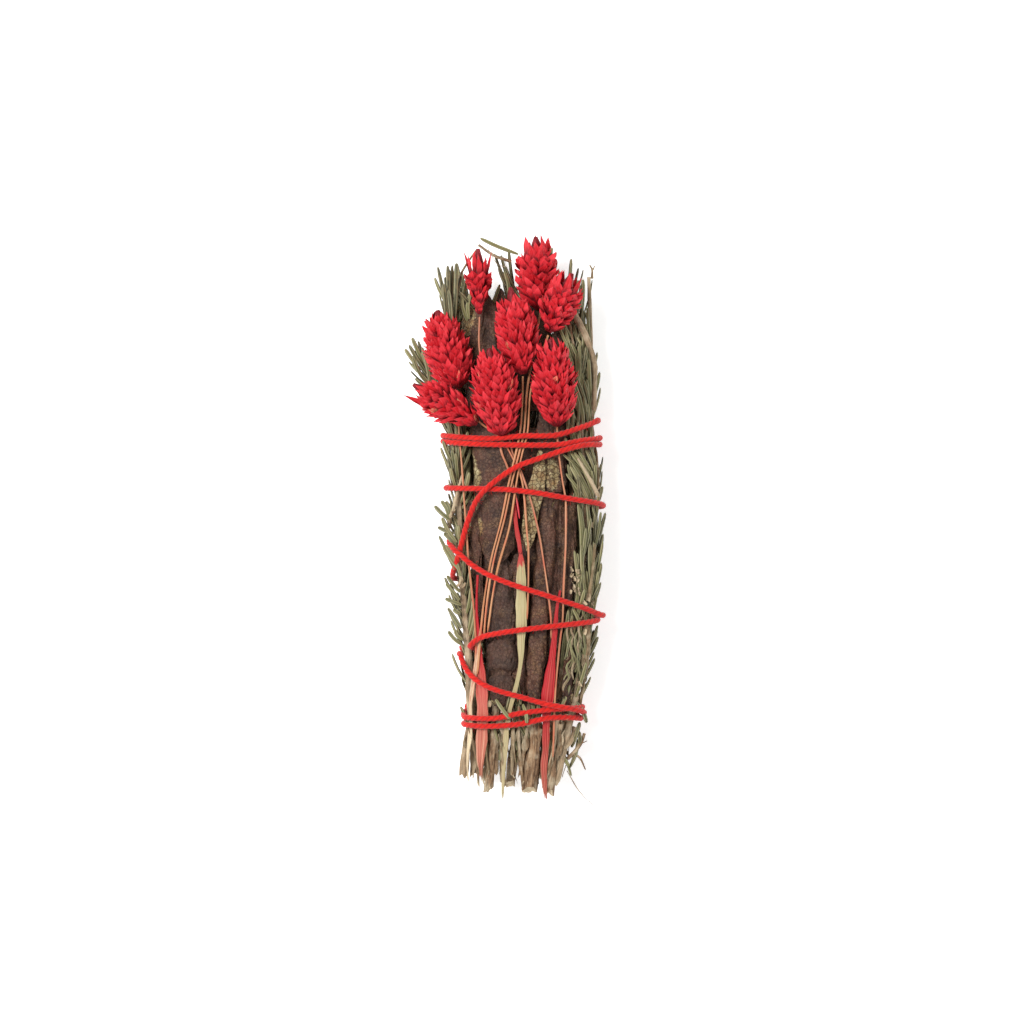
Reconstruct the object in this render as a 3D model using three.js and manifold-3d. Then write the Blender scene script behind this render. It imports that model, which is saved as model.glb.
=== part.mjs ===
// A hand-tied smudge stick lying on its back: rosemary sprigs and resinous yerba santa leaves,
// with eight red canary-grass heads on straw stems laid along the front, wound with red string.
//
// Millimetres. +Z is up, away from the surface that the stick lies on. +Y runs from the cut ends
// to the heads, +X to the right of someone who looks down on it. The origin is on the surface,
// under the middle of the whole outline.

import * as THREE from "three";
import { mergeVertices } from "three/addons/utils/BufferGeometryUtils.js";
import Module from "manifold-3d";

const wasm = await Module();
wasm.setup();

// Driving dimensions

const STRING_RADIUS = 0.95;
const STRING_SIDES = 8;
const STRING_SAG = 0.3; // how far the string's straight facets cut inside its round path
const STRING_SPACING = 2 * STRING_RADIUS + 0.08; // closest that two strands' middles come
const STRING_FLOOR = 1.3; // height of the lowest strand's middle above the surface
const STEM_RADIUS = 0.38;
const NEEDLE_LENGTH = 15;
const NEEDLE_RADIUS = 0.75;
const LEAF_THICKNESS = 0.9;
const GAP = 0.3; // clearance kept between pieces that lie against each other
const OUTLINE_POWER = 2.2; // squareness of the bundle's cross-section: 2 is an ellipse

// The girth of the tied bundle, measured at the string's middle line, from cut ends to tips
const GIRTH = [
  { y: -95, middle: 3.0, halfWidth: 17.0, halfDepth: 11.0 },
  { y: -80, middle: 3.9, halfWidth: 19.2, halfDepth: 12.0 },
  { y: -66, middle: 5.5, halfWidth: 20.0, halfDepth: 13.2 },
  { y: -47, middle: 6.9, halfWidth: 22.2, halfDepth: 14.7 },
  { y: -33, middle: 7.7, halfWidth: 23.8, halfDepth: 15.6 },
  { y: -14, middle: 6.9, halfWidth: 25.4, halfDepth: 16.2 },
  { y: 6, middle: 6.3, halfWidth: 26.3, halfDepth: 16.4 },
  { y: 26, middle: 5.2, halfWidth: 26.5, halfDepth: 16.4 },
  { y: 36, middle: 5.0, halfWidth: 26.5, halfDepth: 14.4 },
  { y: 50, middle: 4.6, halfWidth: 26.0, halfDepth: 12.9 },
  { y: 80, middle: 4.6, halfWidth: 24.0, halfDepth: 11.2 },
  { y: 100, middle: 4.6, halfWidth: 22.0, halfDepth: 10.5 },
];

// Colours, as on the dried pieces
const COLOURS = {
  head: 0xd01c28,
  string: 0xe22a1e,
  straw: 0xdf8f62,
  redSheath: 0xc83a3e,
  paleSheath: 0xcfc795,
  leaf: 0x513a32,
  paleLeaf: 0x8f8a68,
  rosemary: 0x70754f,
};

// Arithmetic that the pieces share

function seededRandom(seed) {
  let state = seed;
  return () => {
    state = (state * 16807) % 2147483647;
    return state / 2147483647;
  };
}

const lerp = THREE.MathUtils.lerp;
const clamp = THREE.MathUtils.clamp;
const radians = THREE.MathUtils.degToRad;

// Value of a list of [position, value, value...] rows at one position, joined by straight lines
function along(rows, position) {
  let k = 0;
  while (k < rows.length - 2 && position > rows[k + 1][0]) k += 1;
  const share = clamp((position - rows[k][0]) / (rows[k + 1][0] - rows[k][0]), 0, 1);
  return rows[k].slice(1).map((value, i) => lerp(value, rows[k + 1][i + 1], share));
}

// The bundle's girth as smooth rows
function girthAt(y) {
  let k = 0;
  while (k < GIRTH.length - 2 && y > GIRTH[k + 1].y) k += 1;
  const low = GIRTH[k];
  const high = GIRTH[k + 1];
  const share = clamp((y - low.y) / (high.y - low.y), 0, 1);
  const halfDepth = lerp(low.halfDepth, high.halfDepth, share);
  return {
    middle: lerp(low.middle, high.middle, share),
    halfWidth: lerp(low.halfWidth, high.halfWidth, share),
    halfDepth,
    height: STRING_FLOOR + halfDepth,
  };
}

// A point at an angle round the bundle, a depth inside the string's middle line.
// 0 degrees is the right side, 90 the front, 180 the left and 270 the underside.
function around(y, degrees, depth = 0) {
  const girth = girthAt(y);
  const c = Math.cos(radians(degrees));
  const s = Math.sin(radians(degrees));
  const power = 2 / OUTLINE_POWER;
  return new THREE.Vector3(
    girth.middle + (girth.halfWidth - depth) * Math.sign(c) * Math.abs(c) ** power,
    y,
    girth.height + (girth.halfDepth - depth) * Math.sign(s) * Math.abs(s) ** power,
  );
}

// The angle round the bundle at which the front passes over x
function frontAngle(x, y, depth = 0) {
  const girth = girthAt(y);
  const share = clamp((x - girth.middle) / (girth.halfWidth - depth), -1, 1);
  const c = Math.sign(share) * Math.abs(share) ** (OUTLINE_POWER / 2);
  return THREE.MathUtils.radToDeg(Math.acos(c));
}

// A list of [x, y, depth] on the front, filled in closely over the bundle's round surface
const DEGREE_LENGTH = 0.38; // about how far a degree round the bundle is
function laidPoints(places, spacing) {
  const unrolled = curveThrough(places.map(([x, y, depth = 0]) => (
    new THREE.Vector3(frontAngle(x, y, depth) * DEGREE_LENGTH, y, depth)
  )));
  const count = Math.ceil(unrolled.getLength() / spacing);
  return unrolled.getSpacedPoints(count).map((p) => around(p.y, p.x / DEGREE_LENGTH, p.z));
}

// The way out of the bundle at a point
function outward(point) {
  const girth = girthAt(point.y);
  const u = (point.x - girth.middle) / girth.halfWidth;
  const w = (point.z - girth.height) / girth.halfDepth;
  const steep = OUTLINE_POWER - 1;
  return new THREE.Vector3(
    (Math.sign(u) * Math.abs(u) ** steep) / girth.halfWidth,
    0,
    (Math.sign(w) * Math.abs(w) ** steep) / girth.halfDepth,
  ).normalize();
}

// How far outside the string's middle line a point is, as a share of the girth
function reach(point) {
  const girth = girthAt(point.y);
  const u = Math.abs(point.x - girth.middle) / girth.halfWidth;
  const w = Math.abs(point.z - girth.height) / girth.halfDepth;
  return (u ** OUTLINE_POWER + w ** OUTLINE_POWER) ** (1 / OUTLINE_POWER);
}

function curveThrough(points) {
  return new THREE.CatmullRomCurve3(points, false, "centripetal");
}

// Room already taken: balls along every piece, each with its piece's name. A needle grows only
// where no ball of another piece is in its way.
const CELL = 4;
const taken = new Map();

function cellKey(x, y, z) {
  return `${Math.floor(x / CELL)} ${Math.floor(y / CELL)} ${Math.floor(z / CELL)}`;
}

function take(point, radius, owner) {
  const key = cellKey(point.x, point.y, point.z);
  if (!taken.has(key)) taken.set(key, []);
  taken.get(key).push({ point: point.clone(), radius, owner });
}

function isFree(point, radius, owner) {
  for (let i = -1; i <= 1; i += 1) {
    for (let j = -1; j <= 1; j += 1) {
      for (let k = -1; k <= 1; k += 1) {
        const key = cellKey(point.x + i * CELL, point.y + j * CELL, point.z + k * CELL);
        for (const ball of taken.get(key) ?? []) {
          if (ball.owner === owner) continue;
          if (ball.point.distanceTo(point) < ball.radius + radius + GAP) return false;
        }
      }
    }
  }
  return true;
}

function takeAlong(points, radiusAt, owner) {
  const curve = curveThrough(points);
  const count = Math.ceil(curve.getLength());
  curve.getSpacedPoints(count).forEach((point, i) => take(point, radiusAt(i / count), owner));
}

// Solids

function weld(geometry) {
  geometry.deleteAttribute("normal");
  geometry.deleteAttribute("uv");
  return mergeVertices(geometry, 1e-4);
}

function toSolid(geometry) {
  const welded = weld(geometry);
  return new wasm.Manifold(new wasm.Mesh({
    numProp: 3,
    vertProperties: welded.attributes.position.array,
    triVerts: new Uint32Array(welded.index.array),
  }));
}

function toGeometry(solid) {
  const mesh = solid.getMesh();
  const geometry = new THREE.BufferGeometry();
  geometry.setAttribute("position", new THREE.BufferAttribute(mesh.vertProperties, 3));
  geometry.setIndex(new THREE.BufferAttribute(mesh.triVerts, 1));
  return geometry;
}

// Joins solids into one body, without the loose slivers that cutting can leave
function fuse(geometries) {
  const bodies = wasm.Manifold.union(geometries.map(toSolid)).decompose();
  bodies.sort((a, b) => b.volume() - a.volume());
  return toGeometry(bodies[0]);
}

// A cylinder bent along a route, with its radius given along it
function bentRod({ points, radiusAt, sides, steps, up = null }) {
  const curve = curveThrough(points);
  const rod = new THREE.CylinderGeometry(1, 1, 1, sides, steps);
  const position = rod.attributes.position;
  const frames = up ? null : curve.computeFrenetFrames(steps, false);
  for (let i = 0; i < position.count; i += 1) {
    const share = clamp(position.getY(i) + 0.5, 0, 1);
    const middle = curve.getPointAt(share);
    const tangent = curve.getTangentAt(share);
    let side;
    let rise;
    if (up) {
      side = new THREE.Vector3().crossVectors(tangent, up(middle)).normalize();
      rise = new THREE.Vector3().crossVectors(side, tangent);
    } else {
      side = frames.binormals[Math.round(share * steps)];
      rise = frames.normals[Math.round(share * steps)];
    }
    const radius = radiusAt(share);
    const x = position.getX(i) * radius;
    const z = position.getZ(i) * radius;
    middle.addScaledVector(side, x).addScaledVector(rise, z);
    position.setXYZ(i, middle.x, middle.y, middle.z);
  }
  return weld(rod);
}

// A thin blade: a grid of points on its outer face and the same grid on its inner face, split
// into triangles alike on both, and closed round its edge
function blade(lengthSteps, widthSteps, pointAt) {
  const row = widthSteps + 1;
  const face = row * (lengthSteps + 1);
  const vertices = [];
  for (const side of [0, 1]) {
    for (let i = 0; i <= lengthSteps; i += 1) {
      for (let j = 0; j <= widthSteps; j += 1) {
        vertices.push(...pointAt(i / lengthSteps, (2 * j) / widthSteps - 1, side).toArray());
      }
    }
  }
  const triangles = [];
  for (let i = 0; i < lengthSteps; i += 1) {
    for (let j = 0; j < widthSteps; j += 1) {
      const a = i * row + j;
      const b = a + 1;
      const c = a + row;
      const d = c + 1;
      triangles.push(a, b, d, a, d, c);
      triangles.push(face + a, face + d, face + b, face + a, face + c, face + d);
    }
  }
  const edge = [];
  for (let j = 0; j < widthSteps; j += 1) edge.push(j);
  for (let i = 0; i < lengthSteps; i += 1) edge.push(i * row + widthSteps);
  for (let j = widthSteps; j > 0; j -= 1) edge.push(lengthSteps * row + j);
  for (let i = lengthSteps; i > 0; i -= 1) edge.push(i * row);
  edge.forEach((from, i) => {
    const to = edge[(i + 1) % edge.length];
    triangles.push(from, face + from, face + to, from, face + to, to);
  });
  const geometry = new THREE.BufferGeometry();
  geometry.setAttribute("position", new THREE.Float32BufferAttribute(vertices, 3));
  geometry.setIndex(triangles);
  return geometry;
}

// String

// Each turn's strand across the front, left to right, in the order in which it is wound, and its
// rank: a strand lies over the strands of lower rank that it crosses. One turn comes up inside
// the left-hand sprig, by the free points of its under list.
const TURNS = [
  { rank: 1, across: [[-13.8, -66.8], [-3, -66.6], [5, -64.9], [14, -63.8], [25.4, -63.4]] },
  { rank: 0, across: [[-13.8, -69.2], [-6, -69.4], [4, -68.6], [14, -66.6], [25.2, -67.2]] },
  {
    rank: 2,
    under: [[-15.2, -44.0, 14.4], [-12.6, -43.8, 16.6], [-10.7, -43.6, 18.6], [-10.6, -43.3, 20.6],
      [-11.6, -43.0, 23.2]],
    across: [[-11.9, -42.6], [-10.4, -41.0], [-8, -39.6], [3.3, -37.3], [17, -35.7], [30.4, -34.2]],
  },
  {
    rank: 6,
    across: [[-18, -20], [-16.6, -15], [-15.2, -10.2], [-10.7, 3.7], [-4, 11.6], [4, 17.2],
      [12.3, 20.2], [24, 24], [31.2, 24.6]],
  },
  { rank: 4, across: [[-21, 27.6], [-3, 26.4], [5, 27.2], [16, 27.4], [24, 29.8], [30.4, 32.6]] },
  { rank: 3, across: [[-21, 25.6], [-3, 24.3], [17, 24.3], [25, 25.7], [31.4, 26.8]] },
  { rank: 5, across: [[-20, 10], [-8, 9.7], [2, 9.3], [12.3, 8], [22.6, 6.2], [32.6, 4.1]] },
  {
    rank: 7,
    across: [[-18.6, -7.7], [-15.2, -11], [-10, -16.4], [4, -22.7], [17.5, -27], [27.6, -30.6],
      [31, -32.4]],
  },
  {
    rank: 8,
    across: [[-15.2, -46], [-11.6, -52.6], [-6, -56.2], [4.6, -59.4], [12.3, -61.6], [25.2, -65.3]],
  },
];

// The two ends are tied low on the left in an overhand knot, and end in short tails
const KNOT = { y: -64.6, degrees: 207, radius: 1.0, yarn: 0.72, tail: 8 };

// A strand round the back, from the right-hand end of one turn to the left-hand end of the next
function backStrand(fromY, toY, endDegrees = -180) {
  const points = [];
  const count = 9;
  for (let i = 1; i < count; i += 1) {
    const share = i / count;
    const ease = share * share * (3 - 2 * share);
    points.push(around(lerp(fromY, toY, ease), lerp(0, endDegrees, share)));
  }
  return points;
}

function stringRoute() {
  const points = [];
  const ranks = [];
  const push = (list, rank) => {
    points.push(...list);
    ranks.push(...list.map(() => rank));
  };
  push([around(KNOT.y, KNOT.degrees), around(KNOT.y - 0.8, KNOT.degrees - 14)], TURNS[0].rank);
  TURNS.forEach((turn, i) => {
    push((turn.under ?? []).map((place) => new THREE.Vector3(...place)), turn.rank);
    push(laidPoints(turn.across, 4), turn.rank);
    const last = turn.across[turn.across.length - 1];
    const next = TURNS[i + 1];
    if (next) push(backStrand(last[1], next.across[0][1]), turn.rank);
    else push(backStrand(last[1], KNOT.y, KNOT.degrees - 352), turn.rank);
  });
  return { points, ranks };
}

// The route sampled closely, with each crossing opened. On the front the strand that passes over
// bows out by a diameter. Below, it bows out by half of that, or less where the surface is near,
// and the strand inside it is pressed in by the rest.
function openCrossings({ points, ranks }) {
  const curve = curveThrough(points);
  const count = Math.round(curve.getLength());
  const samples = [];
  for (let i = 0; i <= count; i += 1) {
    const share = curve.getUtoTmapping(i / count);
    const near = Math.min(Math.round(share * (points.length - 1)), points.length - 1);
    samples.push({ point: curve.getPoint(share), rank: ranks[near], push: 0 });
  }
  const apart = 12; // samples of the same strand nearer than this along it don't count
  for (let i = 0; i < samples.length; i += 1) {
    for (let j = i + apart; j < samples.length; j += 1) {
      const distance = samples[i].point.distanceTo(samples[j].point);
      if (distance >= STRING_SPACING) continue;
      const need = Math.sqrt(STRING_SPACING ** 2 - distance ** 2) + 0.1;
      const over = samples[i].rank > samples[j].rank ? samples[i] : samples[j];
      const under = over === samples[i] ? samples[j] : samples[i];
      const way = outward(over.point);
      const room = way.z < 0 ? (over.point.z - STRING_FLOOR) / -way.z : need;
      const out = way.z < 0 ? Math.min(need / 2, room) : need;
      over.push = Math.max(over.push, out);
      under.push = Math.min(under.push, out - need);
    }
  }
  const slope = 0.24; // how steeply a tight string rises to a crossing, per millimetre
  const eased = samples.map((sample, i) => {
    let most = 0;
    let least = 0;
    for (let j = Math.max(0, i - apart); j <= Math.min(samples.length - 1, i + apart); j += 1) {
      const fall = slope * Math.abs(i - j);
      most = Math.max(most, samples[j].push - fall);
      least = Math.min(least, samples[j].push + fall);
    }
    return sample.point.clone().addScaledVector(outward(sample.point), most + least);
  });
  return eased;
}

const stringPoints = openCrossings(stringRoute());

// A curve whose even steps go from each of its points to the next
class SteppedCurve extends THREE.CatmullRomCurve3 {
  getPointAt(share, target) {
    return this.getPoint(share, target);
  }

  getTangentAt(share, target) {
    return this.getTangent(share, target);
  }
}

// The route's own steps: as long as each facet's sag allows, so they are short where it turns
function stringSteps(samples) {
  const steps = [samples[0]];
  let spent = 0;
  for (let i = 1; i < samples.length - 1; i += 1) {
    const before = new THREE.Vector3().subVectors(samples[i], samples[i - 1]);
    const after = new THREE.Vector3().subVectors(samples[i + 1], samples[i]);
    spent += Math.sqrt((before.angleTo(after) * before.length()) / (8 * STRING_SAG));
    if (spent < 1) continue;
    steps.push(samples[i]);
    spent = 0;
  }
  return [...steps, samples[samples.length - 1]];
}

function knotSolids() {
  const middle = around(KNOT.y, KNOT.degrees, -0.4);
  const knot = new THREE.TorusKnotGeometry(KNOT.radius, KNOT.yarn, 14, 4);
  knot.rotateY(radians(90)).translate(middle.x, middle.y, middle.z);
  const tails = [-1, 1].map((way) => bentRod({
    points: [
      middle,
      middle.clone().add(new THREE.Vector3(-1.2, 0.45 * KNOT.tail * way, -0.4)),
      middle.clone().add(new THREE.Vector3(-0.6, 0.9 * KNOT.tail * way, 0.9 * way)),
    ],
    radiusAt: () => STRING_RADIUS * 0.9,
    sides: 5,
    steps: 3,
  }));
  return [knot, ...tails];
}

function stringSolid() {
  const corners = [];
  for (let i = 0; i < STRING_SIDES; i += 1) {
    const angle = (2 * Math.PI * i) / STRING_SIDES;
    corners.push(new THREE.Vector2(STRING_RADIUS * Math.cos(angle), STRING_RADIUS * Math.sin(angle)));
  }
  const steps = stringSteps(stringPoints);
  const tube = new THREE.ExtrudeGeometry(new THREE.Shape(corners), {
    steps: steps.length - 1,
    extrudePath: new SteppedCurve(steps, false, "centripetal"),
    bevelEnabled: false,
  });
  return fuse([tube, ...knotSolids()]);
}

stringPoints.forEach((point) => take(point, STRING_RADIUS, "string"));

// Straw stems of the heads

const ON_TOP = STRING_RADIUS + STEM_RADIUS + STRING_SAG + 0.12; // depth of a stem just under the string
const BELOW = ON_TOP + 2 * STEM_RADIUS + 0.12; // depth of a stem that another stem crosses
const LOWEST = BELOW + 2 * STEM_RADIUS + 0.12;
const UNDER_STEMS = ON_TOP + STEM_RADIUS + 0.12; // depth of the leaves

// Below the top band a stem is a list of [x, y, depth] on the front. Above it, a stem is a list
// of free points up to the foot of its head.
const STEMS = [
  {
    name: "stem_left",
    free: [[-16.1, 42.0, 26.6], [-15.9, 37, 26.6]],
    laid: [[-15.7, 29, 2.0], [-14.9, 20, ON_TOP], [-13.9, 6, ON_TOP], [-12.6, -12.7, ON_TOP],
      [-11.0, -28, ON_TOP], [-10.3, -37, ON_TOP], [-10.0, -43, ON_TOP], [-10.3, -48, ON_TOP]],
  },
  {
    name: "stem_middle_left",
    free: [[5.6, 47.0, 31.2], [5.4, 38, 31.2]],
    laid: [[4.6, 28, 1.75], [3.4, 22, ON_TOP], [0.6, 10, ON_TOP], [-1.5, -0.5, ON_TOP],
      [-5.4, -16, ON_TOP], [-8.0, -34, ON_TOP], [-8.6, -41, ON_TOP], [-9.5, -52, ON_TOP]],
  },
  {
    name: "stem_middle_right",
    free: [[11.5, 68.6, 19.6], [9.2, 56, 25.0], [7.0, 42, 29.6]],
    laid: [[5.9, 28, 1.75], [4.5, 22, ON_TOP], [1.6, 10, ON_TOP], [-0.55, -0.5, ON_TOP],
      [-4.45, -16, ON_TOP], [-6.9, -34, ON_TOP], [-7.3, -40, ON_TOP]],
  },
  {
    name: "stem_pale",
    free: [[14.0, 60.8, 27.4], [11.0, 52, 28.8], [8.2, 42, 30.0]],
    laid: [[7.1, 28, 1.75], [5.7, 22.6, ON_TOP], [3.2, 10, ON_TOP], [0.9, -4, ON_TOP],
      [-3.0, -18, ON_TOP], [-5.6, -34, ON_TOP], [-6.1, -38, ON_TOP]],
  },
  {
    name: "stem_sheathed",
    free: [[-1.4, 29.3, 31.9]],
    laid: [[-1.5, 28.4, 1.65], [-1.6, 26, ON_TOP], [-1.7, 22.8, ON_TOP], [0.8, 16, BELOW],
      [3.2, 7.7, BELOW], [4.5, -0.2, ON_TOP]],
  },
  {
    name: "stem_crossing_left",
    free: [[-9.2, 32.2, 31.6], [-7.0, 30.4, 30.6]],
    laid: [[-4.5, 28.8, 1.9], [-1.6, 26.6, BELOW], [0, 23.7, BELOW], [2.3, 19.7, BELOW], [4.4, 15.7, BELOW],
      [5.7, 9.7, BELOW], [6.9, -4, ON_TOP], [7.4, -9, ON_TOP], [7.4, -22.7, ON_TOP], [7.0, -33.6, ON_TOP]],
  },
  {
    name: "stem_crossing_right",
    free: [[-8.8, 66.9, 26.6], [-8.9, 57, 26.4], [-7.0, 46, 26.8], [-2.5, 38, 27.4], [0.2, 31.5, 28.9]],
    laid: [[1.0, 27, 2.7], [1.3, 23.8, LOWEST], [2.7, 20.5, LOWEST], [4.9, 15.5, LOWEST], [7.0, 9.7, BELOW],
      [10.7, -4, ON_TOP], [12.3, -13.3, ON_TOP], [13.9, -24.3, ON_TOP], [15.0, -40, ON_TOP]],
  },
  {
    name: "stem_right",
    free: [[17.0, 30.5, 30.7]],
    laid: [[17.0, 29.4, 1.5], [17.1, 26.8, ON_TOP], [17.3, 23, ON_TOP], [19.3, 8.7, ON_TOP],
      [19.8, 6, ON_TOP], [19.8, -9, ON_TOP], [19.2, -21, ON_TOP], [18.8, -34, ON_TOP],
      [17.3, -47.7, ON_TOP], [16.2, -62.7, ON_TOP], [15.7, -80, ON_TOP]],
  },
];

function stemPoints(stem) {
  const free = stem.free.map((place) => new THREE.Vector3(...place));
  return [...free, ...laidPoints(stem.laid, 6)];
}

function stemSolid(stem) {
  const points = stemPoints(stem);
  const steps = Math.ceil(curveThrough(points).getLength() / 6);
  takeAlong(points, () => STEM_RADIUS, stem.name);
  return bentRod({ points, radiusAt: () => STEM_RADIUS, sides: 5, steps, up: outward });
}

// Sheaths: the flat papery blades that wrap the straw stems lower down

const SHEATH_THICKNESS = 0.62;
const SHEATH_DEPTH = STRING_RADIUS + SHEATH_THICKNESS / 2 + STRING_SAG + 0.2;
const SHEATH_DRAPE = 26; // about the radius of the bundle that a wide sheath lies over
const SHEATH_FOLD = 0.05; // how far its edges turn down, as a share of its width

// Each sheath is a list of [x, y, width, depth] from its upper end to its torn lower end
const SHEATHS = [
  {
    name: "sheath_left_red",
    colour: "redSheath",
    places: [[-9.4, -19, 0.7, 3.1], [-9.8, -30, 0.7, 3.1], [-9.8, -38, 1.2, 3.1],
      [-9.4, -47, 2.2, 3.1], [-8.7, -57, 3.8, 2.8], [-7.9, -66, 4.6, SHEATH_DEPTH],
      [-8.5, -77, 3.6, SHEATH_DEPTH], [-8.4, -87, 1.2, SHEATH_DEPTH]],
  },
  {
    name: "sheath_left_pale",
    colour: "paleSheath",
    places: [[-10.7, -54, 1.0, SHEATH_DEPTH], [-12.0, -63, 2.2, SHEATH_DEPTH],
      [-12.3, -74, 2.4, SHEATH_DEPTH], [-12.8, -88.3, 1.0, SHEATH_DEPTH]],
  },
  {
    name: "sheath_middle_red",
    colour: "redSheath",
    places: [[2.9, 4.0, 0.8, 3.5], [3.3, -2, 1.3, 3.5], [4.1, -6.5, 1.3, 3.0], [5.0, -10.0, 0.9, 2.4]],
  },
  {
    name: "sheath_middle_pale",
    colour: "paleSheath",
    places: [[4.8, -12.0, 1.0, SHEATH_DEPTH], [4.75, -15.7, 2.2, SHEATH_DEPTH],
      [4.6, -24, 3.0, SHEATH_DEPTH], [4.7, -39, 2.8, SHEATH_DEPTH], [4.75, -47, 2.2, SHEATH_DEPTH],
      [4.6, -51.3, 1.4, SHEATH_DEPTH], [2.9, -58, 1.5, SHEATH_DEPTH], [0.6, -67, 1.8, SHEATH_DEPTH],
      [-0.3, -77, 1.7, SHEATH_DEPTH], [-1.2, -94.2, 0.7, SHEATH_DEPTH]],
  },
  {
    name: "sheath_right_red",
    colour: "redSheath",
    places: [[18.0, -24, 0.8, SHEATH_DEPTH], [16.9, -30, 1.0, SHEATH_DEPTH],
      [15.7, -43, 1.6, SHEATH_DEPTH], [14.5, -53, 2.7, SHEATH_DEPTH], [13.8, -61, 3.2, SHEATH_DEPTH],
      [13.4, -68, 2.2, SHEATH_DEPTH], [13.2, -77, 1.9, SHEATH_DEPTH], [12.6, -85, 2.5, SHEATH_DEPTH],
      [13.3, -94.3, 0.8, SHEATH_DEPTH]],
  },
];

function sheathSolid(sheath) {
  const places = laidPoints(sheath.places.map(([x, y, , depth]) => [x, y, depth]), 6);
  const lengths = sheath.places.map(([, y, width]) => [-y, width]);
  const curve = curveThrough(places);
  const lengthSteps = Math.max(4, Math.ceil(curve.getLength() / 6));
  const pointAt = (share, across, side) => {
    const middle = curve.getPointAt(share);
    const tangent = curve.getTangentAt(share);
    const [width] = along(lengths, -middle.y);
    const rise = outward(middle);
    const wide = new THREE.Vector3().crossVectors(tangent, rise).normalize();
    const drape = (across * width) ** 2 / (4 * SHEATH_DRAPE) + SHEATH_FOLD * width * Math.abs(across);
    middle.addScaledVector(wide, (across * width) / 2);
    return middle.addScaledVector(rise, (0.5 - side) * SHEATH_THICKNESS - drape);
  };
  for (let i = 0; i <= lengthSteps * 6; i += 1) {
    const share = i / (lengthSteps * 6);
    for (const across of [-0.8, 0, 0.8]) take(pointAt(share, across, 0.5), 0.4, sheath.name);
  }
  return blade(lengthSteps, 2, pointAt);
}

// Yerba santa leaves

// Each leaf is a list of [x, y, depth below the stems] of its crown from tip to stalk, the radius
// that it is rolled to along it, and how many degrees round it goes to each side
const LEAVES = [
  {
    name: "yerba_santa_upper_left",
    colour: "leaf",
    crown: [[-7.5, 75, 0.2], [-8, 60, 0.1], [-7.3, 40, 0.2], [-5.2, 24, 0.3], [-4.4, 6, 0.1],
      [-4.0, -15, 0.1]],
    roll: [[0, 3.2], [0.1, 7.2], [0.3, 8.6], [0.85, 8.6], [1, 5.0]],
    sweep: 60,
  },
  {
    name: "yerba_santa_lower_left",
    colour: "leaf",
    crown: [[-3.2, -11, 2.9], [-2.8, -17, 1.9], [-2.4, -27, 0.2], [-2.0, -46, 0], [-2.2, -63, 0.4]],
    roll: [[0, 4.0], [0.15, 5.6], [0.7, 6.0], [1, 4.6]],
    sweep: 68,
  },
  {
    name: "yerba_santa_strip",
    colour: "paleLeaf",
    crown: [[11.5, 22.4, 0], [10.8, 14, 0.1], [10.0, 8, 0.7], [9.1, 5, 0.8], [7.9, -3, 0.3],
      [7.2, -11, 0.1]],
    roll: [[0, 3.4], [0.4, 6.2], [0.8, 5.8], [1, 3.4]],
    sweep: 27,
  },
  {
    name: "yerba_santa_upper_right",
    colour: "leaf",
    crown: [[18.0, 62, 1.4], [16.9, 45, 1.5], [16.4, 28, 1.5], [16.6, 18, 1.6], [16.8, 8.6, 1.3]],
    roll: [[0, 4.0], [0.2, 7.0], [0.7, 7.6], [1, 5.6]],
    sweep: 50,
  },
  {
    name: "yerba_santa_rolled_middle",
    colour: "leaf",
    crown: [[14.5, 3.4, 0.2], [13.6, -12, 0], [11.7, -30, 0], [10.4, -47, 0], [9.6, -62.5, 0.4]],
    roll: [[0, 2.6], [0.12, 3.5], [0.8, 3.7], [1, 2.8]],
    sweep: 138,
  },
  {
    name: "yerba_santa_rolled_right",
    colour: "leaf",
    crown: [[22.3, 5.6, 0.3], [22.1, -10, 0.1], [20.6, -29.4, 0.3]],
    roll: [[0, 2.4], [0.2, 3.5], [0.8, 3.4], [1, 2.2]],
    sweep: 132,
  },
  {
    name: "yerba_santa_lower_right",
    colour: "leaf",
    crown: [[21.3, -43, 0.6], [21.8, -53, 0.3], [20.9, -62.5, 0.5]],
    roll: [[0, 2.4], [0.4, 4.2], [1, 3.4]],
    sweep: 46,
  },
  {
    name: "yerba_santa_inner",
    colour: "leaf",
    crown: [[-2.4, 77, 3.2], [-1.6, 60, 4.0], [0.6, 36, 5.4], [2.2, 10, 6.2], [3.0, -14, 6.4],
      [3.0, -40, 6.2]],
    roll: [[0, 2.6], [0.12, 5.0], [0.8, 5.4], [1, 3.6]],
    sweep: 56,
  },
];

const LEAF_LENGTH_STEP = 7;

function leafPoint(leaf, curve, share, across, side) {
  const middle = curve.getPointAt(share);
  const tangent = curve.getTangentAt(share);
  const [radius] = along(leaf.roll, share);
  const rise = outward(middle);
  const wide = new THREE.Vector3().crossVectors(tangent, rise).normalize();
  rise.crossVectors(wide, tangent);
  const turn = radians(leaf.sweep) * across;
  const arm = radius - side * LEAF_THICKNESS;
  return middle
    .addScaledVector(rise, arm * Math.cos(turn) - radius)
    .addScaledVector(wide, arm * Math.sin(turn));
}

function leafSolid(leaf) {
  const crown = leaf.crown.map(([x, y, extra]) => [x, y, UNDER_STEMS + extra]);
  const curve = curveThrough(laidPoints(crown, 6));
  const lengthSteps = Math.ceil(curve.getLength() / LEAF_LENGTH_STEP);
  const widthSteps = leaf.sweep > 90 ? 8 : 5;
  const fine = 5;
  for (let i = 0; i <= lengthSteps * fine; i += 1) {
    for (let j = -8; j <= 8; j += 1) {
      const point = leafPoint(leaf, curve, i / (lengthSteps * fine), j / 8, 0.5);
      take(point, LEAF_THICKNESS / 2 + 0.1, leaf.name);
    }
  }
  return blade(lengthSteps, widthSteps, (share, across, side) => leafPoint(leaf, curve, share, across, side));
}

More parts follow.
